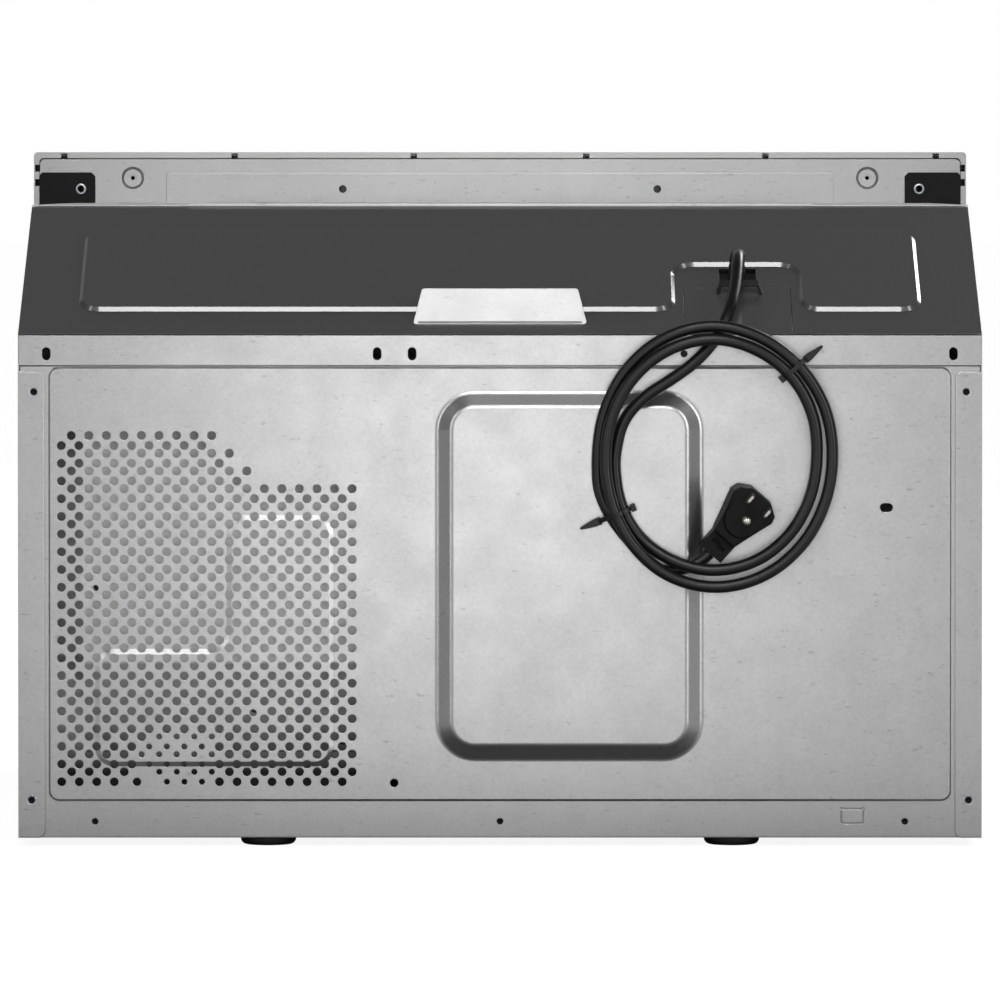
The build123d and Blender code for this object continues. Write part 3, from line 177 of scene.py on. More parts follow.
def blend(
    tree: bpy.types.NodeTree, share: bpy.types.NodeSocket, first: Any, second: Any
) -> bpy.types.NodeSocket:
    """Mixes two colours.

    Args:
        tree: the node tree to add to.
        share: 0 for the first colour, 1 for the second.
        first: a colour or the output that gives it.
        second: likewise.

    Returns:
        The mixed colour.
    """
    return add_node(
        tree, "ShaderNodeMix", {"data_type": "RGBA"}, {0: share, 6: first, 7: second}
    ).outputs[2]


def maths(tree: bpy.types.NodeTree, operation: str, *values: Any) -> bpy.types.NodeSocket:
    """Adds a calculation.

    Args:
        tree: the node tree to add to.
        operation: Blender's name for it.
        values: numbers or outputs.

    Returns:
        The result.
    """
    return add_node(
        tree, "ShaderNodeMath", {"operation": operation}, dict(enumerate(values))
    ).outputs[0]


class Grain(Enum):
    """The way the lines of a worked surface run."""

    ALONG_X = (0.02, 1.0, 1.0)
    ALONG_Y = (1.0, 0.02, 1.0)
    ALONG_Z = (1.0, 1.0, 0.02)
    SHORT_X = (0.35, 1.0, 1.0)
    NONE = (1.0, 1.0, 1.0)


# Finishes


@dataclass(frozen=True)
class Finish:
    """A surface finish, made once and shared by all pieces that have it.

    Its base is one Principled shader. The pattern fields are real sizes in
    millimetres; noise is measured across one light and one dark patch.
    """

    name: str
    colour: str
    roughness: float = 0.5
    metallic: float = 0.0
    ior: float = 1.5
    coat: float = 0.0
    coat_roughness: float = 0.1
    second: str | None = None
    patch_mm: float = 12.0
    patch_share: float = 0.5
    grain_mm: float = 1.0
    grain: Grain = Grain.NONE
    relief_mm: float = 0.01
    rough_spread: float = 0.08
    edge_mm: float = 0.0
    fleck: str | None = None
    fleck_mm: float = 1.5
    fleck_grain: Grain = Grain.SHORT_X

    def material(self) -> bpy.types.Material:
        """Gives the finish's material, and makes it the first time.

        Returns:
            The shared material.
        """
        made = bpy.data.materials.get(self.name)
        if made is not None:
            return made
        made = bpy.data.materials.new(self.name)
        made.use_nodes = True
        tree = made.node_tree
        shader = tree.nodes["Principled BSDF"]
        shader.inputs["Metallic"].default_value = self.metallic
        shader.inputs["Coat Weight"].default_value = self.coat
        shader.inputs["Coat Roughness"].default_value = self.coat_roughness
        if not self.metallic:
            shader.inputs["IOR"].default_value = self.ior
        place = add_node(tree, "ShaderNodeTexCoord").outputs["Object"]
        self.shade(tree, shader, place)
        return made

    def shade(
        self, tree: bpy.types.NodeTree, shader: bpy.types.Node, place: bpy.types.NodeSocket
    ) -> None:
        """Adds patches, flecks, a changing roughness, fine relief and soft edges.

        Args:
            tree: the material's node tree.
            shader: its Principled shader.
            place: the position on the object, in metres.
        """
        stretched = add_node(
            tree, "ShaderNodeMapping", {}, {"Vector": place, "Scale": self.grain.value}
        ).outputs["Vector"]
        patches = noise(tree, place, self.patch_mm, 4.0, 0.6)
        fine = noise(tree, stretched, self.grain_mm, 2.0)
        mixed = maths(tree, "ADD", patches, fine)
        share = ramp(tree, mixed, PATCH_RANGE, (0.0, self.patch_share))
        colour = blend(tree, share, linear(self.colour), linear(self.second or self.colour))
        if self.fleck:
            drawn = add_node(
                tree, "ShaderNodeMapping", {}, {"Vector": place, "Scale": self.fleck_grain.value}
            ).outputs["Vector"]
            specks = noise(tree, drawn, self.fleck_mm, 3.0, 0.7)
            marked = ramp(tree, specks, FLECK_RANGE, (0.0, FLECK_SHARE))
            colour = blend(tree, marked, colour, linear(self.fleck))
        tree.links.new(colour, shader.inputs["Base Color"])
        low = max(LEAST_ROUGHNESS, self.roughness - self.rough_spread)
        high = min(1.0, self.roughness + self.rough_spread)
        rough = ramp(tree, patches, NOISE_RANGE, (low, high))
        tree.links.new(rough, shader.inputs["Roughness"])
        bump = add_node(
            tree,
            "ShaderNodeBump",
            {},
            {"Strength": RELIEF_STRENGTH, "Distance": self.relief_mm * MM, "Height": fine},
        )
        if self.edge_mm:
            rounded = add_node(
                tree, "ShaderNodeBevel", {"samples": 4}, {"Radius": self.edge_mm * MM}
            )
            tree.links.new(rounded.outputs["Normal"], bump.inputs["Normal"])
        tree.links.new(bump.outputs["Normal"], shader.inputs["Normal"])


@dataclass(frozen=True)
class GlassFinish(Finish):
    """Flat glass, tinted or clear; it stays smooth."""

    passes: float = 0.9

    def shade(
        self, tree: bpy.types.NodeTree, shader: bpy.types.Node, place: bpy.types.NodeSocket
    ) -> None:
        """Sets the glass's colour and adds faint smears to its gloss.

        Args:
            tree: the material's node tree.
            shader: its Principled shader.
            place: the position on the object, in metres.
        """
        shader.inputs["Base Color"].default_value = linear(self.colour)
        shader.inputs["Transmission Weight"].default_value = self.passes
        smears = noise(tree, place, self.patch_mm, 3.0)
        ends = (self.roughness, self.roughness + self.rough_spread)
        tree.links.new(ramp(tree, smears, SMEAR_RANGE, ends), shader.inputs["Roughness"])


@dataclass(frozen=True)
class PaintedShadeFinish(Finish):
    """A finish with painted shade: its colour grows darker towards the floor."""

    # The colour of the painted shade, the height where it begins and the height where it is full.
    painted_shade_colour: str = "303030"
    painted_shade_from_mm: float = 68.0
    painted_shade_full_mm: float = 40.0

    def shade(
        self, tree: bpy.types.NodeTree, shader: bpy.types.Node, place: bpy.types.NodeSocket
    ) -> None:
        """Mixes the finish's own colour with a painted shade, by the height above the floor.

        Args:
            tree: the material's node tree.
            shader: its Principled shader.
            place: the position on the object, in metres.
        """
        super().shade(tree, shader, place)
        unshaded = shader.inputs["Base Color"].links[0].from_socket
        height = add_node(tree, "ShaderNodeSeparateXYZ", {}, {"Vector": place}).outputs["Z"]
        heights = (self.painted_shade_full_mm * MM, self.painted_shade_from_mm * MM)
        # Painted shade: the sheet's colour darkens from this height down to the floor.
        share = ramp(tree, height, heights, (1.0, 0.0))
        shaded_colour = blend(tree, share, unshaded, linear(self.painted_shade_colour))
        tree.links.new(shaded_colour, shader.inputs["Base Color"])


@dataclass(frozen=True)
class WoundFinish(Finish):
    """Wire or laminations laid in even layers."""

    pitch_mm: float = 1.0

    def shade(
        self, tree: bpy.types.NodeTree, shader: bpy.types.Node, place: bpy.types.NodeSocket
    ) -> None:
        """Adds bands at the pitch of the layers, as relief and as shade.

        Args:
            tree: the material's node tree.
            shader: its Principled shader.
            place: the position on the object, in metres.
        """
        bands = add_node(
            tree,
            "ShaderNodeTexWave",
            {"wave_type": "BANDS", "bands_direction": "Z", "wave_profile": "SIN"},
            {
                "Vector": place,
                "Scale": WAVE_SCALE / (self.pitch_mm * MM),
                "Distortion": 0.15,
                "Detail": 1.0,
            },
        ).outputs["Fac"]
        colour = blend(tree, bands, linear(self.second or self.colour), linear(self.colour))
        tree.links.new(colour, shader.inputs["Base Color"])
        shader.inputs["Roughness"].default_value = self.roughness
        depth = WOUND_DEPTH * self.pitch_mm * MM
        bump = add_node(
            tree,
            "ShaderNodeBump",
            {},
            {"Strength": WOUND_STRENGTH, "Distance": depth, "Height": bands},
        )
        tree.links.new(bump.outputs["Normal"], shader.inputs["Normal"])


@dataclass(frozen=True)
class Finishes:
    """Every finish of the appliance."""

    # Hot-dip galvanised steel, skin-passed: pale grey, with faint clouds of
    # spangle a few centimetres wide, short rolling marks and a soft, broad
    # reflection.
    galvanised: Finish = Finish(
        "galvanised_steel_skin_passed", "BBBBBB", 0.32, 1.0, second="A6A6A6", patch_mm=24,
        patch_share=1.0, grain_mm=2.0, relief_mm=0.01, rough_spread=0.03, edge_mm=0.6,
        fleck="8E8E8E", fleck_mm=2.2,
    )
    # Thicker galvanised strip of the bracket: duller, so that its face, which
    # looks at the main lamp, stays a soft pale grey.
    galvanised_rolled: Finish = Finish(
        "galvanised_steel_rolled", "AEAEAE", 0.46, 1.0, second="A1A1A1", patch_mm=18,
        patch_share=1.0, grain_mm=1.6, relief_mm=0.01, rough_spread=0.03, edge_mm=0.5,
        fleck="969696", fleck_mm=2.4,
    )
    # The same steel as the body's for the front frame, with finer clouds and
    # darker rolling marks.
    galvanised_heavy: Finish = Finish(
        "galvanised_steel_heavy", "B7B7B7", 0.32, 1.0, second="ABABAB", patch_mm=22,
        patch_share=1.0, grain_mm=1.6, relief_mm=0.01, rough_spread=0.03, edge_mm=0.5,
        fleck="8A8A8A", fleck_mm=2.4,
    )
    # Galvanised sheet that stays behind the panel: dull, with a painted shade that darkens it low
    # down.
    galvanised_dull: PaintedShadeFinish = PaintedShadeFinish(
        "galvanised_steel_painted_shade_low", "D8D8D8", 0.5, 0.35, second="CCCCCC", patch_mm=30,
        grain_mm=2.0,
    )
    # Steel with a satin black powder coat: even black with a clear soft gloss
    # that turns white where a fold faces the light. The orange peel is 1 mm.
    powder_coat: Finish = Finish(
        "steel_black_powder_coat", "3A3A3A", 0.33, coat=1.0, coat_roughness=0.14,
        second="373737", patch_mm=30, patch_share=0.6, grain_mm=1.1, relief_mm=0.004,
        rough_spread=0.04, edge_mm=0.5,
    )
    # Black-passivated zinc: flat, nearly without gloss.
    black_zinc: Finish = Finish(
        "steel_black_passivated", "0E0E0E", 0.6, second="131313", patch_mm=9, grain_mm=0.8,
        edge_mm=0.4, ior=1.25,
    )
    # Stainless steel, brushed along its length: fine lines 0.35 mm apart.
    stainless: Finish = Finish(
        "stainless_steel_brushed", "B4B4B3", 0.34, 1.0, second="AAAAA9", patch_mm=30,
        patch_share=0.5, grain_mm=0.35, grain=Grain.ALONG_X, relief_mm=0.006,
        rough_spread=0.05,
    )
    # Enamelled steel of the cavity and bin: smooth light grey glass coat.
    enamel: Finish = Finish(
        "steel_grey_enamel", "A9A9A7", 0.37, coat=0.6, coat_roughness=0.08, second="A3A3A1",
        patch_mm=40, grain_mm=1.6, relief_mm=0.003,
    )
    # Zinc-plated steel of slides, motors and screws: bluish and fairly bright.
    zinc: Finish = Finish(
        "steel_zinc_plated", "BFC3C8", 0.36, 1.0, second="AEB3B8", patch_mm=7, grain_mm=0.5,
        grain=Grain.ALONG_Y, relief_mm=0.004,
    )
    # Drawn aluminium of cans and fins: bright, with faint draw lines.
    aluminium: Finish = Finish(
        "aluminium_drawn", "D2D2D2", 0.36, 1.0, second="C4C4C4", patch_mm=15, grain_mm=0.4,
        grain=Grain.ALONG_Z, relief_mm=0.004,
    )
    # Toughened glass with a black print behind it.
    black_glass: GlassFinish = GlassFinish(
        "glass_black_printed", "0B0B0C", 0.04, ior=1.52, patch_mm=60, rough_spread=0.05,
        passes=0.0,
    )
    # Grey-tinted toughened glass of the window.
    window_glass: GlassFinish = GlassFinish(
        "glass_grey_tinted", "8C8F90", 0.03, ior=1.52, patch_mm=60, rough_spread=0.03,
        passes=0.9,
    )
    # Clear toughened glass on the inside of the drawer front.
    clear_glass: GlassFinish = GlassFinish(
        "glass_clear_toughened", "EEF3F1", 0.02, ior=1.52, patch_mm=60, rough_spread=0.03,
        passes=1.0,
    )
    # Glass-ceramic tray: off-white and slightly mottled.
    ceramic: Finish = Finish(
        "glass_ceramic_tray", "E3E0D8", 0.18, second="D6D2C8", patch_mm=10, grain_mm=1.0,
        relief_mm=0.004, coat=0.4,
    )
    # Pressed mica board: brownish with flakes of about 5 mm.
    mica: Finish = Finish(
        "mica_board_pressed", "B7A98C", 0.5, second="9C8E70", patch_mm=5, patch_share=0.9,
        grain_mm=1.2, relief_mm=0.03,
    )
    # Fibreglass laminate with green solder lacquer.
    laminate: Finish = Finish(
        "fibreglass_laminate_green", "1F5A34", 0.37, coat=0.5, second="17492A", patch_mm=3,
        patch_share=0.9, grain_mm=0.6, relief_mm=0.03,
    )
    # Silicon-steel laminations of 0.5 mm, seen in pairs, dipped in dark varnish.
    laminations: WoundFinish = WoundFinish(
        "silicon_steel_laminations", "3A3B3D", 0.45, 0.6, second="232426", pitch_mm=1.0,
    )
    # Enamelled copper wire of 1 mm.
    copper: WoundFinish = WoundFinish(
        "copper_wire_enamelled", "B0673A", 0.35, 0.7, second="6E3B1E", pitch_mm=1.0,
    )
    # Glass-filled polypropylene of the fan and its duct.
    polypropylene: Finish = Finish(
        "polypropylene_black_moulded", "2E2F31", 0.5, second="27282A", patch_mm=8, grain_mm=0.7,
        relief_mm=0.02,
    )
    # Acetal of gears and rack: milky white with a soft gloss.
    acetal: Finish = Finish(
        "acetal_natural_moulded", "E9E6DE", 0.37, second="DFDCD3", patch_mm=9, grain_mm=0.8,
        relief_mm=0.008,
    )
    # Phenolic of the switches and hooks: dark, hard and fairly glossy.
    phenolic: Finish = Finish(
        "phenolic_black_moulded", "1D1D1E", 0.37, coat=0.4, second="262627", patch_mm=4,
        grain_mm=0.5,
    )
    # Nitrile rubber of the feet and of the cord's block: black and matt.
    nitrile: Finish = Finish(
        "nitrile_rubber_moulded", "101010", 0.6, second="161616", patch_mm=5, grain_mm=0.8,
        relief_mm=0.03, edge_mm=0.6,
    )
    # Soft PVC jacket, extruded: nearly black, with a dull waxy sheen and a
    # faint pebbling.
    jacket: Finish = Finish(
        "pvc_cord_jacket_extruded", "0A0A0A", 0.34, ior=1.42, second="0E0E0E",
        patch_mm=9, patch_share=0.7, grain_mm=1.2, relief_mm=0.02, rough_spread=0.06,
    )
    # Harder PVC of the plug, moulded in a spark-eroded tool: matt and dense.
    plug: Finish = Finish(
        "pvc_plug_moulded", "0A0A0B", 0.55, ior=1.25, second="101011", patch_mm=6, grain_mm=0.9,
        relief_mm=0.03, edge_mm=0.5,
    )
    # Nickel-plated brass of the prongs: bright and slightly warm.
    nickel: Finish = Finish(
        "brass_nickel_plated", "CFCBC2", 0.22, 1.0, second="B9B4A8", patch_mm=3, grain_mm=0.3,
        grain=Grain.ALONG_Y, relief_mm=0.003,
    )
    # Nylon of the ties: black with a soft gloss.
    nylon: Finish = Finish(
        "nylon_black_moulded", "101011", 0.4, ior=1.4, second="171718", patch_mm=4,
        grain_mm=0.6, relief_mm=0.01, edge_mm=0.3,
    )
    # Frosted glass of the lamp: warm white, lets most light through.
    lamp_glass: GlassFinish = GlassFinish(
        "glass_lamp_frosted", "F2EFE4", 0.3, ior=1.5, passes=0.8,
    )


FINISHES = Finishes()


# Mesh helpers


def dress(finish: Finish, *nodes: str) -> None:
    """Gives CAD nodes a finish.

    Args:
        finish: the finish.
        nodes: names of CAD nodes.
    """
    for name in nodes:
        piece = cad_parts[name]
        if not piece.material_slots:
            piece.data.materials.append(finish.material())
        for slot in piece.material_slots:
            slot.material = finish.material()
        log.info("dressed %s in %s", name, finish.name)


def new_object(
    name: str, mesh: bpy.types.Mesh, finish: Finish, body: str
) -> bpy.types.Object:
    """Puts a mesh in the scene as a piece that rides on a body.

    Args:
        name: the piece's name.
        mesh: its mesh, in metres in the row frame.
        finish: its finish.
        body: the CAD body that carries it.

    Returns:
        The new object.
    """
    mesh.materials.append(finish.material())
    piece = bpy.data.objects.new(name, mesh)
    bpy.context.scene.collection.objects.link(piece)
    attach(piece, body)
    log.info("built %s", name)
    return piece


def skin(
    shape: bmesh.types.BMesh, low: Sequence[bmesh.types.BMVert], high: Sequence[bmesh.types.BMVert]
) -> None:
    """Joins two closed rings of equal count with a band of faces.

    Args:
        shape: the mesh that it is added to.
        low: the first ring.
        high: the second ring.
    """
    for i in range(len(low)):
        after = (i + 1) % len(low)
        shape.faces.new((low[i], low[after], high[after], high[i]))


def turned(
    shape: bmesh.types.BMesh,
    centre: tuple[float, float, float],
    profile: Sequence[tuple[float, float]],
    hexagons: Sequence[int] = (),
    hollow: bool = False,
    sides: int = 36,
) -> None:
    """Adds a turned form whose axis runs along Y.

    Args:
        shape: the mesh that it is added to.
        centre: a point on its axis, in millimetres.
        profile: radius and place along the axis, from the inner end outwards.
        hexagons: numbers of the profile's points that are six-sided.
        hollow: joins the last ring to the first, instead of closing both.
        sides: how many sides a turn has; a multiple of six.
    """
    rings = []
    for number, (radius, rise) in enumerate(profile):
        ring = []
        for i in range(sides):
            angle = 2 * math.pi * i / sides
            reach = radius
            if number in hexagons:
                reach *= math.cos(math.pi / 6) / math.cos(angle % (math.pi / 3) - math.pi / 6)
            offset = Vector((reach * math.cos(angle), rise, -reach * math.sin(angle)))
            ring.append(shape.verts.new((Vector(centre) + offset) * MM))
        rings.append(ring)
    pairs = list(zip(rings, rings[1:]))
    if hollow:
        pairs.append((rings[-1], rings[0]))
    else:
        shape.faces.new(list(reversed(rings[0])))
        shape.faces.new(rings[-1])
    for low, high in pairs:
        skin(shape, low, high)


def finished(shape: bmesh.types.BMesh, name: str, smooth_deg: float = 35.0) -> bpy.types.Mesh:
    """Turns a mesh under work into a finished one.

    Args:
        shape: the mesh under work, which is freed.
        name: the new mesh's name.
        smooth_deg: edges that turn less than this are shaded smooth.

    Returns:
        The finished mesh.
    """
    bmesh.ops.recalc_face_normals(shape, faces=shape.faces)
    for face in shape.faces:
        face.smooth = True
    limit = math.radians(smooth_deg)
    for edge in shape.edges:
        edge.smooth = len(edge.link_faces) == 2 and edge.calc_face_angle() < limit
    mesh = bpy.data.meshes.new(name)
    shape.to_mesh(mesh)
    shape.free()
    return mesh


# Sub-assemblies


@dataclass
class Fixings:
    """Screws of the rear and the rivet nuts of the corner brackets."""

    side_places: Sequence[tuple[float, float]] = ((268.4, 262.1), (269.9, 26.8))
    side_face: float = 290.9
    strip_face: float = 291.0
    base_places: Sequence[float] = (-233.3, 0.0, 233.3)
    base_height: float = 14.4
    base_face: float = 289.5
    nut_place: tuple[float, float] = (272.3, 378.4)
    frame_back: float = -266.2
    head_radius: float = 1.85
    shank_radius: float = 1.4
    socket_radius: float = 1.05
    washer: Sequence[tuple[float, float]] = (
        (2.1, 0.02), (2.9, 0.02), (2.9, 0.2), (2.7, 0.35), (2.25, 0.3), (2.1, 0.15),
    )
    rivet_nut: Sequence[tuple[float, float]] = (
        (2.1, -0.6), (3.3, -0.6), (3.4, -0.5), (3.4, 1.1), (3.2, 1.4), (2.6, 1.5), (2.1, 1.2),
        (1.95, 0.9),
    )

    def screw(self) -> list[tuple[float, float]]:
        """Profile of a screw, whose head ends in a six-sided socket.

        Returns:
            Radius and place along the axis, measured from the head's face.
        """
        head = self.head_radius
        socket = self.socket_radius
        return [
            (self.shank_radius, -4.0), (self.shank_radius, -1.2), (head - 0.25, -1.15),
            (head, -0.9), (head, -0.35), (head - 0.12, -0.12), (head - 0.4, 0.0),
            (socket + 0.12, 0.0), (socket, -0.1), (socket * 0.96, -1.0), (socket * 0.5, -1.25),
        ]

    def sides(self, face: float) -> list[tuple[float, float, float]]:
        """Middles of the screws in the side panels' rear strips.

        Args:
            face: how far to the rear they lie.

        Returns:
            Places in millimetres.
        """
        return [(side * x, face, z) for x, z in self.side_places for side in (-1, 1)]

    def add(
        self,
        name: str,
        centres: Sequence[tuple[float, float, float]],
        profile: Sequence[tuple[float, float]],
        finish: Finish,
        hexagons: Sequence[int] = (),
    ) -> None:
        """Makes one piece of equal turned forms, closed ones where they have sockets.

        Args:
            name: the piece's name.
            centres: the middle of each form, in millimetres.
            profile: radius and place along the axis.
            finish: its finish.
            hexagons: numbers of the profile's points that are six-sided.
        """
        shape = bmesh.new()
        for centre in centres:
            turned(shape, centre, profile, hexagons=hexagons, hollow=not hexagons)
        mesh = finished(shape, name)
        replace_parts(new_object(name, mesh, finish, CABINET), "fasteners")

    def build(self) -> None:
        """Makes the screws, washers and rivet nuts."""
        screw = self.screw()
        bases = [(x, self.base_face, self.base_height) for x in self.base_places]
        nuts = [(side * self.nut_place[0], self.frame_back, self.nut_place[1]) for side in (-1, 1)]
        self.add(
            "side_screws", self.sides(self.side_face), screw, FINISHES.black_zinc, SOCKET_RINGS
        )
        self.add("side_washers", self.sides(self.strip_face), self.washer, FINISHES.zinc)
        self.add("base_screws", bases, screw, FINISHES.black_zinc, SOCKET_RINGS)
        self.add("rivet_nuts", nuts, self.rivet_nut, FINISHES.zinc)


@dataclass
class TrimClips:
    """Spring clips that hold the fascia trim to the frame, seen in its slots."""

    top_places: Sequence[float] = (56.0, 172.5, 283.2)
    side_places: Sequence[float] = (382.45, 391.75)
    lip_face: float = -267.2
    top_height: float = 398.9
    side_reach: float = 300.2
    half_width: float = 0.7
    # Half of the folded leaf from its end to the tongue: along it, and outwards.
    half_leaf: Sequence[tuple[float, float]] = (
        (3.4, -2.2), (3.4, -0.6), (2.9, -0.3), (0.95, -0.3), (0.75, 0.0), (0.75, 0.55),
    )

    def clip(self, shape: bmesh.types.BMesh, x: float, z: float, upright: bool) -> None:
        """Adds one clip: a folded leaf with a tongue that stands in the slot.

        Args:
            shape: the mesh that it is added to.
            x: its middle across.
            z: its middle upwards.
            upright: whether it stands on end, as at the sides.
        """
        leaf = [(-along, out) for along, out in self.half_leaf] + list(reversed(self.half_leaf))
        ends = []
        for rise in (-self.half_width, self.half_width):
            ring = []
            for along, out in leaf:
                across, up = (rise, along) if upright else (along, rise)
                place = Vector((x + across, self.lip_face + out, z + up))
                ring.append(shape.verts.new(place * MM))
            ends.append(ring)
        shape.faces.new(ends[0])
        shape.faces.new(list(reversed(ends[1])))
        skin(shape, *ends)

    def build(self) -> None:
        """Makes all clips as one piece."""
        shape = bmesh.new()
        for side in (-1, 1):
            for x in self.top_places:
                self.clip(shape, side * x, self.top_height, False)
            for z in self.side_places:
                self.clip(shape, side * self.side_reach, z, True)
        mesh = finished(shape, "trim_clips")
        new_object("trim_clips", mesh, FINISHES.black_zinc, CABINET)


@dataclass
class Chassis:
    """Sheet-metal body: base, sides, rear panel, covers and brackets."""

    sheets: Sequence[str] = (
        "base_pan",
        "side_panel_left",
        "side_panel_right",
        "rear_panel",
        "rear_upper_rail",
        "top_cover",
        "capacitor_strap",
        "drive_bracket",
        "waveguide",
    )
    heavy: Sequence[str] = ("front_frame", "frame_stiffener")
    black: Sequence[str] = ("sloped_cover", "cord_plate")

    def dress(self) -> None:
        """Gives every sheet its finish."""
        dress(FINISHES.galvanised, *self.sheets)
        dress(FINISHES.galvanised_heavy, *self.heavy)
        dress(FINISHES.galvanised_rolled, "anti_tip_bracket")
        dress(FINISHES.powder_coat, *self.black)
        dress(FINISHES.galvanised_dull, "intake_baffle")
        dress(FINISHES.black_zinc, "corner_brackets")
        dress(FINISHES.nitrile, "feet")


@dataclass
class ControlPanel:
    """Fascia with its trim, glass and board."""

    def dress(self) -> None:
        """Gives the control panel its finishes."""
        dress(FINISHES.stainless, "fascia_trim")
        dress(FINISHES.black_glass, "control_glass")
        dress(FINISHES.laminate, "control_board")


@dataclass
class Heating:
    """Cavity, waveguide parts, magnetron, transformer, capacitor and fan."""

    def dress(self) -> None:
        """Gives the heating parts their finishes."""
        dress(FINISHES.enamel, "cavity_shell")
        dress(FINISHES.mica, "stirrer_cover")
        dress(FINISHES.aluminium, "stirrer_blade", "magnetron", "hv_capacitor")
        dress(FINISHES.zinc, "stirrer_motor", "fan_motor")
        dress(FINISHES.laminations, "transformer_core")
        dress(FINISHES.copper, "transformer_coils")
        dress(FINISHES.polypropylene, "fan_housing", "fan_blade")
        dress(FINISHES.laminate, "filter_board")
        dress(FINISHES.lamp_glass, "oven_lamp")


@dataclass
class DrawerFront:
    """Drawer with its bin, tray, windows, skin and latch hooks."""

    def dress(self) -> None:
        """Gives the drawer its finishes."""
        dress(FINISHES.enamel, "drawer_bin", "choke_frame", "door_screen")
        dress(FINISHES.ceramic, "ceramic_tray")
        dress(FINISHES.window_glass, "outer_glass")
        dress(FINISHES.clear_glass, "inner_glass")
        dress(FINISHES.stainless, "door_skin")
        dress(FINISHES.phenolic, "latch_hooks", "interlock_switches")


@dataclass
class Running:
    """Slides, rack and gears."""

    sides: Sequence[str] = ("left", "right")

    def dress(self) -> None:
        """Gives the running parts their finishes."""
        for member in ("outer", "middle", "inner"):
            dress(FINISHES.zinc, *[f"slide_{member}_{side}" for side in self.sides])
        dress(FINISHES.zinc, "slide_balls", "drive_motor")
        dress(FINISHES.acetal, "rack", "drive_gear", "motor_gear")


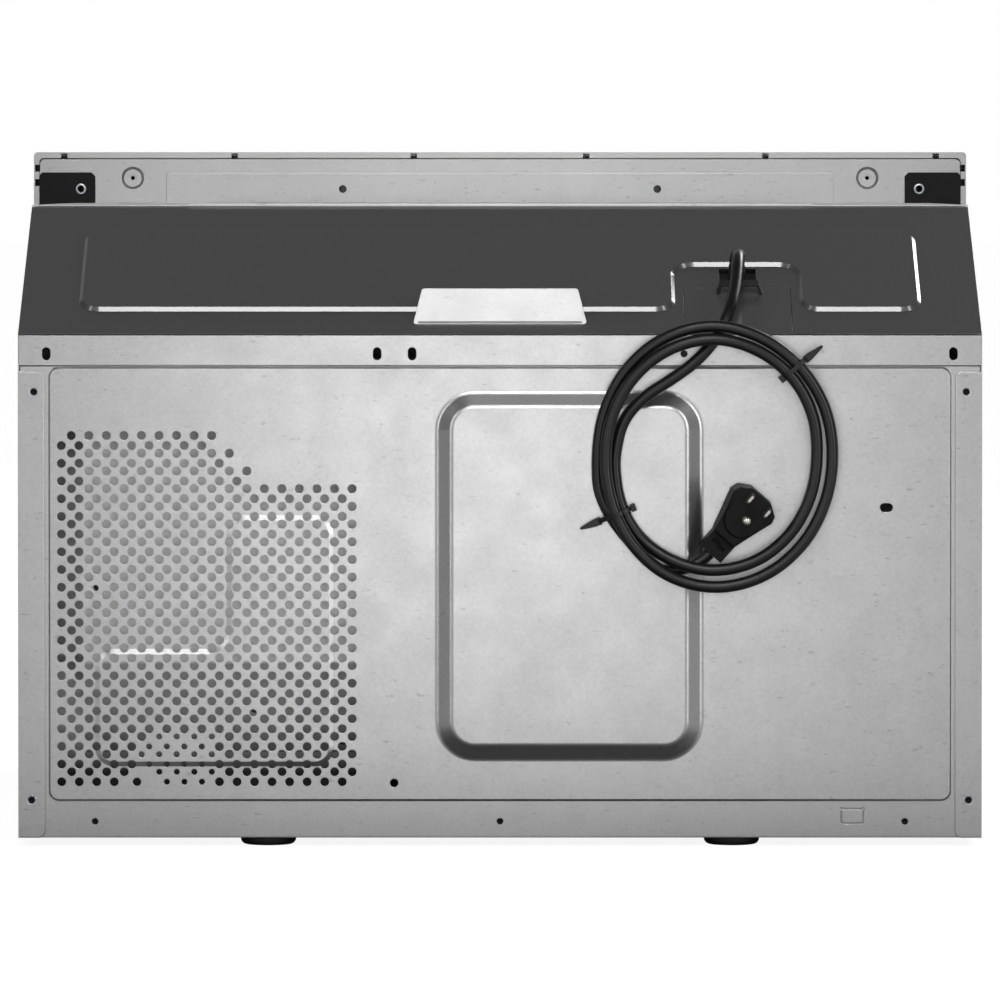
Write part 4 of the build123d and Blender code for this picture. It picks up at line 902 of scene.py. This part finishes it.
@dataclass
class PowerCord:
    """The cord from the sloped cover to its plug, tied in loops."""

    diameter_mm: float = 6.9
    length_mm: float = 1157.0
    lead: Sequence[tuple[float, float, float]] = (
        (-138.0, 229.1, 326.9),
        (-138.0, 233.2, 334.2),
        (-138.2, 243.8, 340.8),
        (-137.9, 255.6, 339.4),
        (-136.2, 275.0, 324.4),
        (-132.4, 295.0, 309.3),
        (-125.3, 303.4, 294.4),
        (-113.2, 304.2, 280.2),
        (-98.0, 303.6, 269.2),
        (-84.4, 303.0, 260.9),
        (-74.6, 302.5, 251.6),
        (-69.2, 302.2, 242.0),
        (-66.7, 302.0, 230.6),
    )
    # The loops turn about this middle; each place is its turn in degrees from
    # +X towards -Z, its radius, and how far out it lies along Y.
    middle: tuple[float, float] = (-123.0, 226.0)
    places: Sequence[tuple[float, float, float]] = (
        (6, 56.6, 302.0),
        (48, 63.4, 302.6),
        (90, 65.6, 311.2),
        (180, 58.1, 309.0),
        (225, 62.9, 311.0),
        (270, 66.9, 312.7),
        (360, 62.0, 310.0),
        (450, 75.4, 310.8),
        (540, 67.0, 309.0),
        (585, 70.0, 309.6),
        (630, 74.5, 309.7),
        (720, 66.2, 302.0),
        (768, 74.6, 301.8),
    )
    tail: Sequence[tuple[float, float, float]] = (
        (-88.5, 301.6, 160.2),
        (-99.5, 301.4, 159.6),
        (-108.8, 301.0, 161.6),
        (-115.6, 300.6, 165.2),
        (-120.4, 300.4, 169.6),
    )
    step: float = 24.0
    boot_length: float = 24.0
    boot_radii: tuple[float, float] = (5.1, 4.2)
    boot_step: float = 0.6
    boot_sides: int = 28
    ridge_pitch: float = 4.2
    ridge_depth: float = 0.5
    # The first fifth of the boot has no ridges.
    ridges_from: float = 0.2

    def turns(self) -> list[Vector]:
        """Spreads control points evenly between the places of the loops.

        Returns:
            Points in millimetres, a little outside the line of the cord, as
            the control points of a smooth curve are.
        """
        points: list[Vector] = []
        lift = math.cos(math.radians(self.step) / 2)
        for (turn, radius, out), (next_turn, next_radius, next_out) in zip(
            self.places, self.places[1:]
        ):
            count = max(1, round((next_turn - turn) / self.step))
            for i in range(count):
                share = i / count
                soft = (1 - math.cos(math.pi * share)) / 2
                angle = math.radians(turn + (next_turn - turn) * share)
                reach = (radius + (next_radius - radius) * soft) / lift
                x = self.middle[0] + reach * math.cos(angle)
                z = self.middle[1] - reach * math.sin(angle)
                points.append(Vector((x, out + (next_out - out) * soft, z)))
        return points

    def build(self) -> None:
        """Makes the cord as one smooth curve with its boot, and gives what is on it its finishes.
        """
        self.dress()
        points = [Vector(p) for p in self.lead] + self.turns() + [Vector(p) for p in self.tail]
        data = bpy.data.curves.new("power_cord", "CURVE")
        data.dimensions = "3D"
        data.resolution_u = 12
        data.bevel_resolution = 6
        data.use_fill_caps = True
        line = data.splines.new("NURBS")
        line.points.add(len(points) - 1)
        for point, place in zip(line.points, points):
            point.co = (*(place * MM), 1.0)
        line.order_u = 3
        line.use_endpoint_u = True
        data.materials.append(FINISHES.jacket.material())
        cord = bpy.data.objects.new("power_cord", data)
        bpy.context.scene.collection.objects.link(cord)
        self.boot(cord)
        data.bevel_depth = self.diameter_mm * MM / 2
        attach(cord, CABINET)
        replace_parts(cord, "cord_lead", "cord_loops")
        log.info("built power_cord")

    def boot(self, cord: bpy.types.Object) -> None:
        """Makes the tapered, ringed sleeve round the cord's first stretch.

        Args:
            cord: the cord's curve, still without its thickness.
        """
        course = bpy.data.meshes.new_from_object(cord)
        line = [vertex.co.copy() / MM for vertex in course.vertices]
        ways = [(b - a).normalized() for a, b in zip(line, line[1:])]
        across = Vector((1.0, 0.0, 0.0))
        shape = bmesh.new()
        rings: list[list[bmesh.types.BMVert]] = []
        gone = 0.0
        stations = int(self.boot_length / self.boot_step)
        number = 0
        for station in range(stations + 1):
            along = station * self.boot_step
            while gone + (line[number + 1] - line[number]).length < along:
                gone += (line[number + 1] - line[number]).length
                number += 1
            way = ways[number]
            middle = line[number] + way * (along - gone)
            across = (across - way * across.dot(way)).normalized()
            up = way.cross(across)
            share = along / self.boot_length
            radius = self.boot_radii[0] + (self.boot_radii[1] - self.boot_radii[0]) * share
            ridge = math.sin(math.pi * along / self.ridge_pitch) ** 2
            if share > self.ridges_from:
                radius -= self.ridge_depth * ridge
            if station == stations:
                radius = self.diameter_mm / 2
            ring = []
            for i in range(self.boot_sides):
                angle = 2 * math.pi * i / self.boot_sides
                offset = (across * math.cos(angle) + up * math.sin(angle)) * radius
                ring.append(shape.verts.new((middle + offset) * MM))
            rings.append(ring)
        for low, high in zip(rings, rings[1:]):
            skin(shape, low, high)
        shape.faces.new(rings[0])
        mesh = finished(shape, "cord_boot", 60.0)
        new_object("cord_boot", mesh, FINISHES.nitrile, CABINET)

    def dress(self) -> None:
        """Gives the plug, prongs, ties and the cord's block their finishes."""
        dress(FINISHES.plug, "plug_body")
        dress(FINISHES.nickel, "plug_prongs")
        dress(FINISHES.nylon, "cable_ties")
        dress(FINISHES.nitrile, "strain_relief")


# Studio


@dataclass
class Softbox:
    """One area light, turned to a point."""

    name: str
    place: tuple[float, float, float]
    target: tuple[float, float, float]
    size: tuple[float, float]
    power: float

    def build(self) -> None:
        """Adds the light."""
        data = bpy.data.lights.new(self.name, "AREA")
        data.shape = "RECTANGLE"
        data.size, data.size_y = self.size
        data.energy = self.power
        light = bpy.data.objects.new(self.name, data)
        light.location = self.place
        way = Vector(self.target) - Vector(self.place)
        light.rotation_euler = way.to_track_quat("-Z", "Y").to_euler()
        light.visible_camera = False
        bpy.context.scene.collection.objects.link(light)


@dataclass
class Studio:
    """Pale floor, white surroundings, softboxes and the camera."""

    # The camera's angle and distance are the photograph's. A part of the
    # frame's shift is given up for a slight tilt, so other views keep the
    # whole object in the picture.
    lens_mm: float = 267.6
    camera_place: tuple[float, float, float] = (0.0, 4.567, 0.383)
    pitch_deg: float = 1.22
    rise: float = -0.16
    clip_end: float = 100.0
    # The surroundings' light on matt surfaces, and the range that metal shows:
    # brighter straight ahead and behind than at the sides.
    diffuse_light: float = 0.45
    facing_range: tuple[float, float] = (0.45, 0.98)
    mirrored_range: tuple[float, float] = (0.08, 0.60)
    # The floor: white to the camera. To metal and to bounced light it has a painted shade, a mid
    # grey at the object's rear that grows pale further out.
    floor_half_m: float = 40.0
    floor_seen: str = "7C7C7C"
    floor_glow: float = 0.9
    floor_painted_shade: str = "545454"
    floor_far: str = "B4B4B4"
    floor_mirrored_glow: float = 0.14
    shade_centre: tuple[float, float, float] = (0.0, 0.2, 0.0)
    shade_range: tuple[float, float] = (0.17, 0.52)
    # rear_key whitens the folds of the sloped cover, rear_upper the top walls
    # of the pads, rear_fill the panel's middle, and the strips the upright
    # walls. front_key lights the side that the photograph doesn't show.
    softboxes: Sequence[Softbox] = (
        Softbox("rear_key", (0.0, 2.30, 1.53), (0.0, 0.3, 0.3), (1.0, 0.35), 17),
        Softbox("rear_upper", (0.0, 1.70, 2.25), (0.0, 0.3, 0.3), (1.2, 0.26), 7.0),
        Softbox("rear_fill", (0.0, 1.6, 0.22), (0.0, 0.3, 0.24), (0.42, 0.50), 1.4),
        Softbox("strip_left", (2.25, 2.25, 1.25), (0.0, 0.3, 1.0), (0.38, 2.4), 16),
        Softbox("strip_right", (-2.25, 2.25, 1.25), (0.0, 0.3, 1.0), (0.38, 2.4), 31),
        Softbox("front_key", (-1.9, -2.3, 1.9), (0.0, -0.3, 0.2), (1.3, 1.0), 44),
    )

    def world(self) -> None:
        """Surroundings: white to the camera, darker at the sides for metal."""
        world = bpy.data.worlds.new("studio")
        bpy.context.scene.world = world
        world.use_nodes = True
        tree = world.node_tree
        tree.nodes.clear()
        rays = add_node(tree, "ShaderNodeLightPath").outputs
        way = add_node(tree, "ShaderNodeTexCoord").outputs["Generated"]
        parts = add_node(tree, "ShaderNodeSeparateXYZ", {}, {"Vector": way}).outputs
        facing = ramp(
            tree,
            maths(tree, "ABSOLUTE", parts["Y"]),
            self.facing_range,
            self.mirrored_range,
            "SMOOTHSTEP",
        )
        straight = maths(tree, "MAXIMUM", rays["Is Camera Ray"], rays["Is Transmission Ray"])
        lit = add_node(
            tree,
            "ShaderNodeMix",
            {"data_type": "FLOAT"},
            {0: rays["Is Glossy Ray"], 2: self.diffuse_light, 3: facing},
        ).outputs[0]
        seen = maths(tree, "MAXIMUM", lit, straight)
        back = add_node(
            tree, "ShaderNodeBackground", {}, {"Color": (1, 1, 1, 1), "Strength": seen}
        ).outputs["Background"]
        add_node(tree, "ShaderNodeOutputWorld", {}, {"Surface": back})

    def floor(self) -> None:
        """A wide pale floor with a faint shadow, and a painted shade near the object that metal
        shows.
        """
        mesh = bpy.data.meshes.new("floor")
        shape = bmesh.new()
        bmesh.ops.create_grid(shape, x_segments=1, y_segments=1, size=self.floor_half_m)
        shape.to_mesh(mesh)
        shape.free()
        material = bpy.data.materials.new("painted_floor_white")
        material.use_nodes = True
        tree = material.node_tree
        tree.nodes.clear()
        rays = add_node(tree, "ShaderNodeLightPath").outputs
        place = add_node(tree, "ShaderNodeTexCoord").outputs["Object"]
        reach = add_node(
            tree,
            "ShaderNodeVectorMath",
            {"operation": "DISTANCE"},
            {0: place, 1: self.shade_centre},
        ).outputs["Value"]
        # Painted shade: the floor's colour and its glow in metal are darker near the object.
        away = ramp(tree, reach, self.shade_range, (0.0, 1.0))
        reflected = blend(tree, away, linear(self.floor_painted_shade), linear(self.floor_far))
        tone = blend(tree, rays["Is Camera Ray"], reflected, linear(self.floor_seen))
        mirrored = maths(tree, "MULTIPLY", rays["Is Glossy Ray"], away)
        dim = maths(tree, "MULTIPLY", mirrored, self.floor_mirrored_glow)
        level = maths(tree, "MULTIPLY_ADD", rays["Is Camera Ray"], self.floor_glow, dim)
        paint = add_node(tree, "ShaderNodeBsdfDiffuse", {}, {"Color": tone}).outputs["BSDF"]
        white = add_node(
            tree, "ShaderNodeEmission", {}, {"Color": (1, 1, 1, 1), "Strength": level}
        ).outputs["Emission"]
        both = add_node(tree, "ShaderNodeAddShader", {}, {0: paint, 1: white}).outputs["Shader"]
        add_node(tree, "ShaderNodeOutputMaterial", {}, {"Surface": both})
        mesh.materials.append(material)
        floor = bpy.data.objects.new("floor", mesh)
        bpy.context.scene.collection.objects.link(floor)

    def camera(self) -> None:
        """The camera, far back and nearly level, as in the photograph."""
        data = bpy.data.cameras.new("camera")
        data.sensor_width = 36.0
        data.lens = self.lens_mm
        data.shift_y = self.rise
        data.clip_end = self.clip_end
        camera = bpy.data.objects.new("camera", data)
        camera.location = self.camera_place
        camera.rotation_euler = (math.radians(90 - self.pitch_deg), 0.0, math.pi)
        bpy.context.scene.collection.objects.link(camera)
        bpy.context.scene.camera = camera

    def build(self) -> None:
        """Sets up the whole studio."""
        self.world()
        self.floor()
        self.camera()
        for softbox in self.softboxes:
            softbox.build()
        bpy.context.scene.view_settings.view_transform = "Standard"


def main() -> None:
    """Dresses and builds every sub-assembly, then the studio."""
    logging.basicConfig(level=logging.INFO, format="%(name)s: %(message)s")
    for assembly in (Chassis(), ControlPanel(), Heating(), DrawerFront(), Running()):
        assembly.dress()
    for assembly in (Fixings(), TrimClips(), PowerCord()):
        assembly.build()
    Studio().build()


if __name__ == "__main__":
    main()
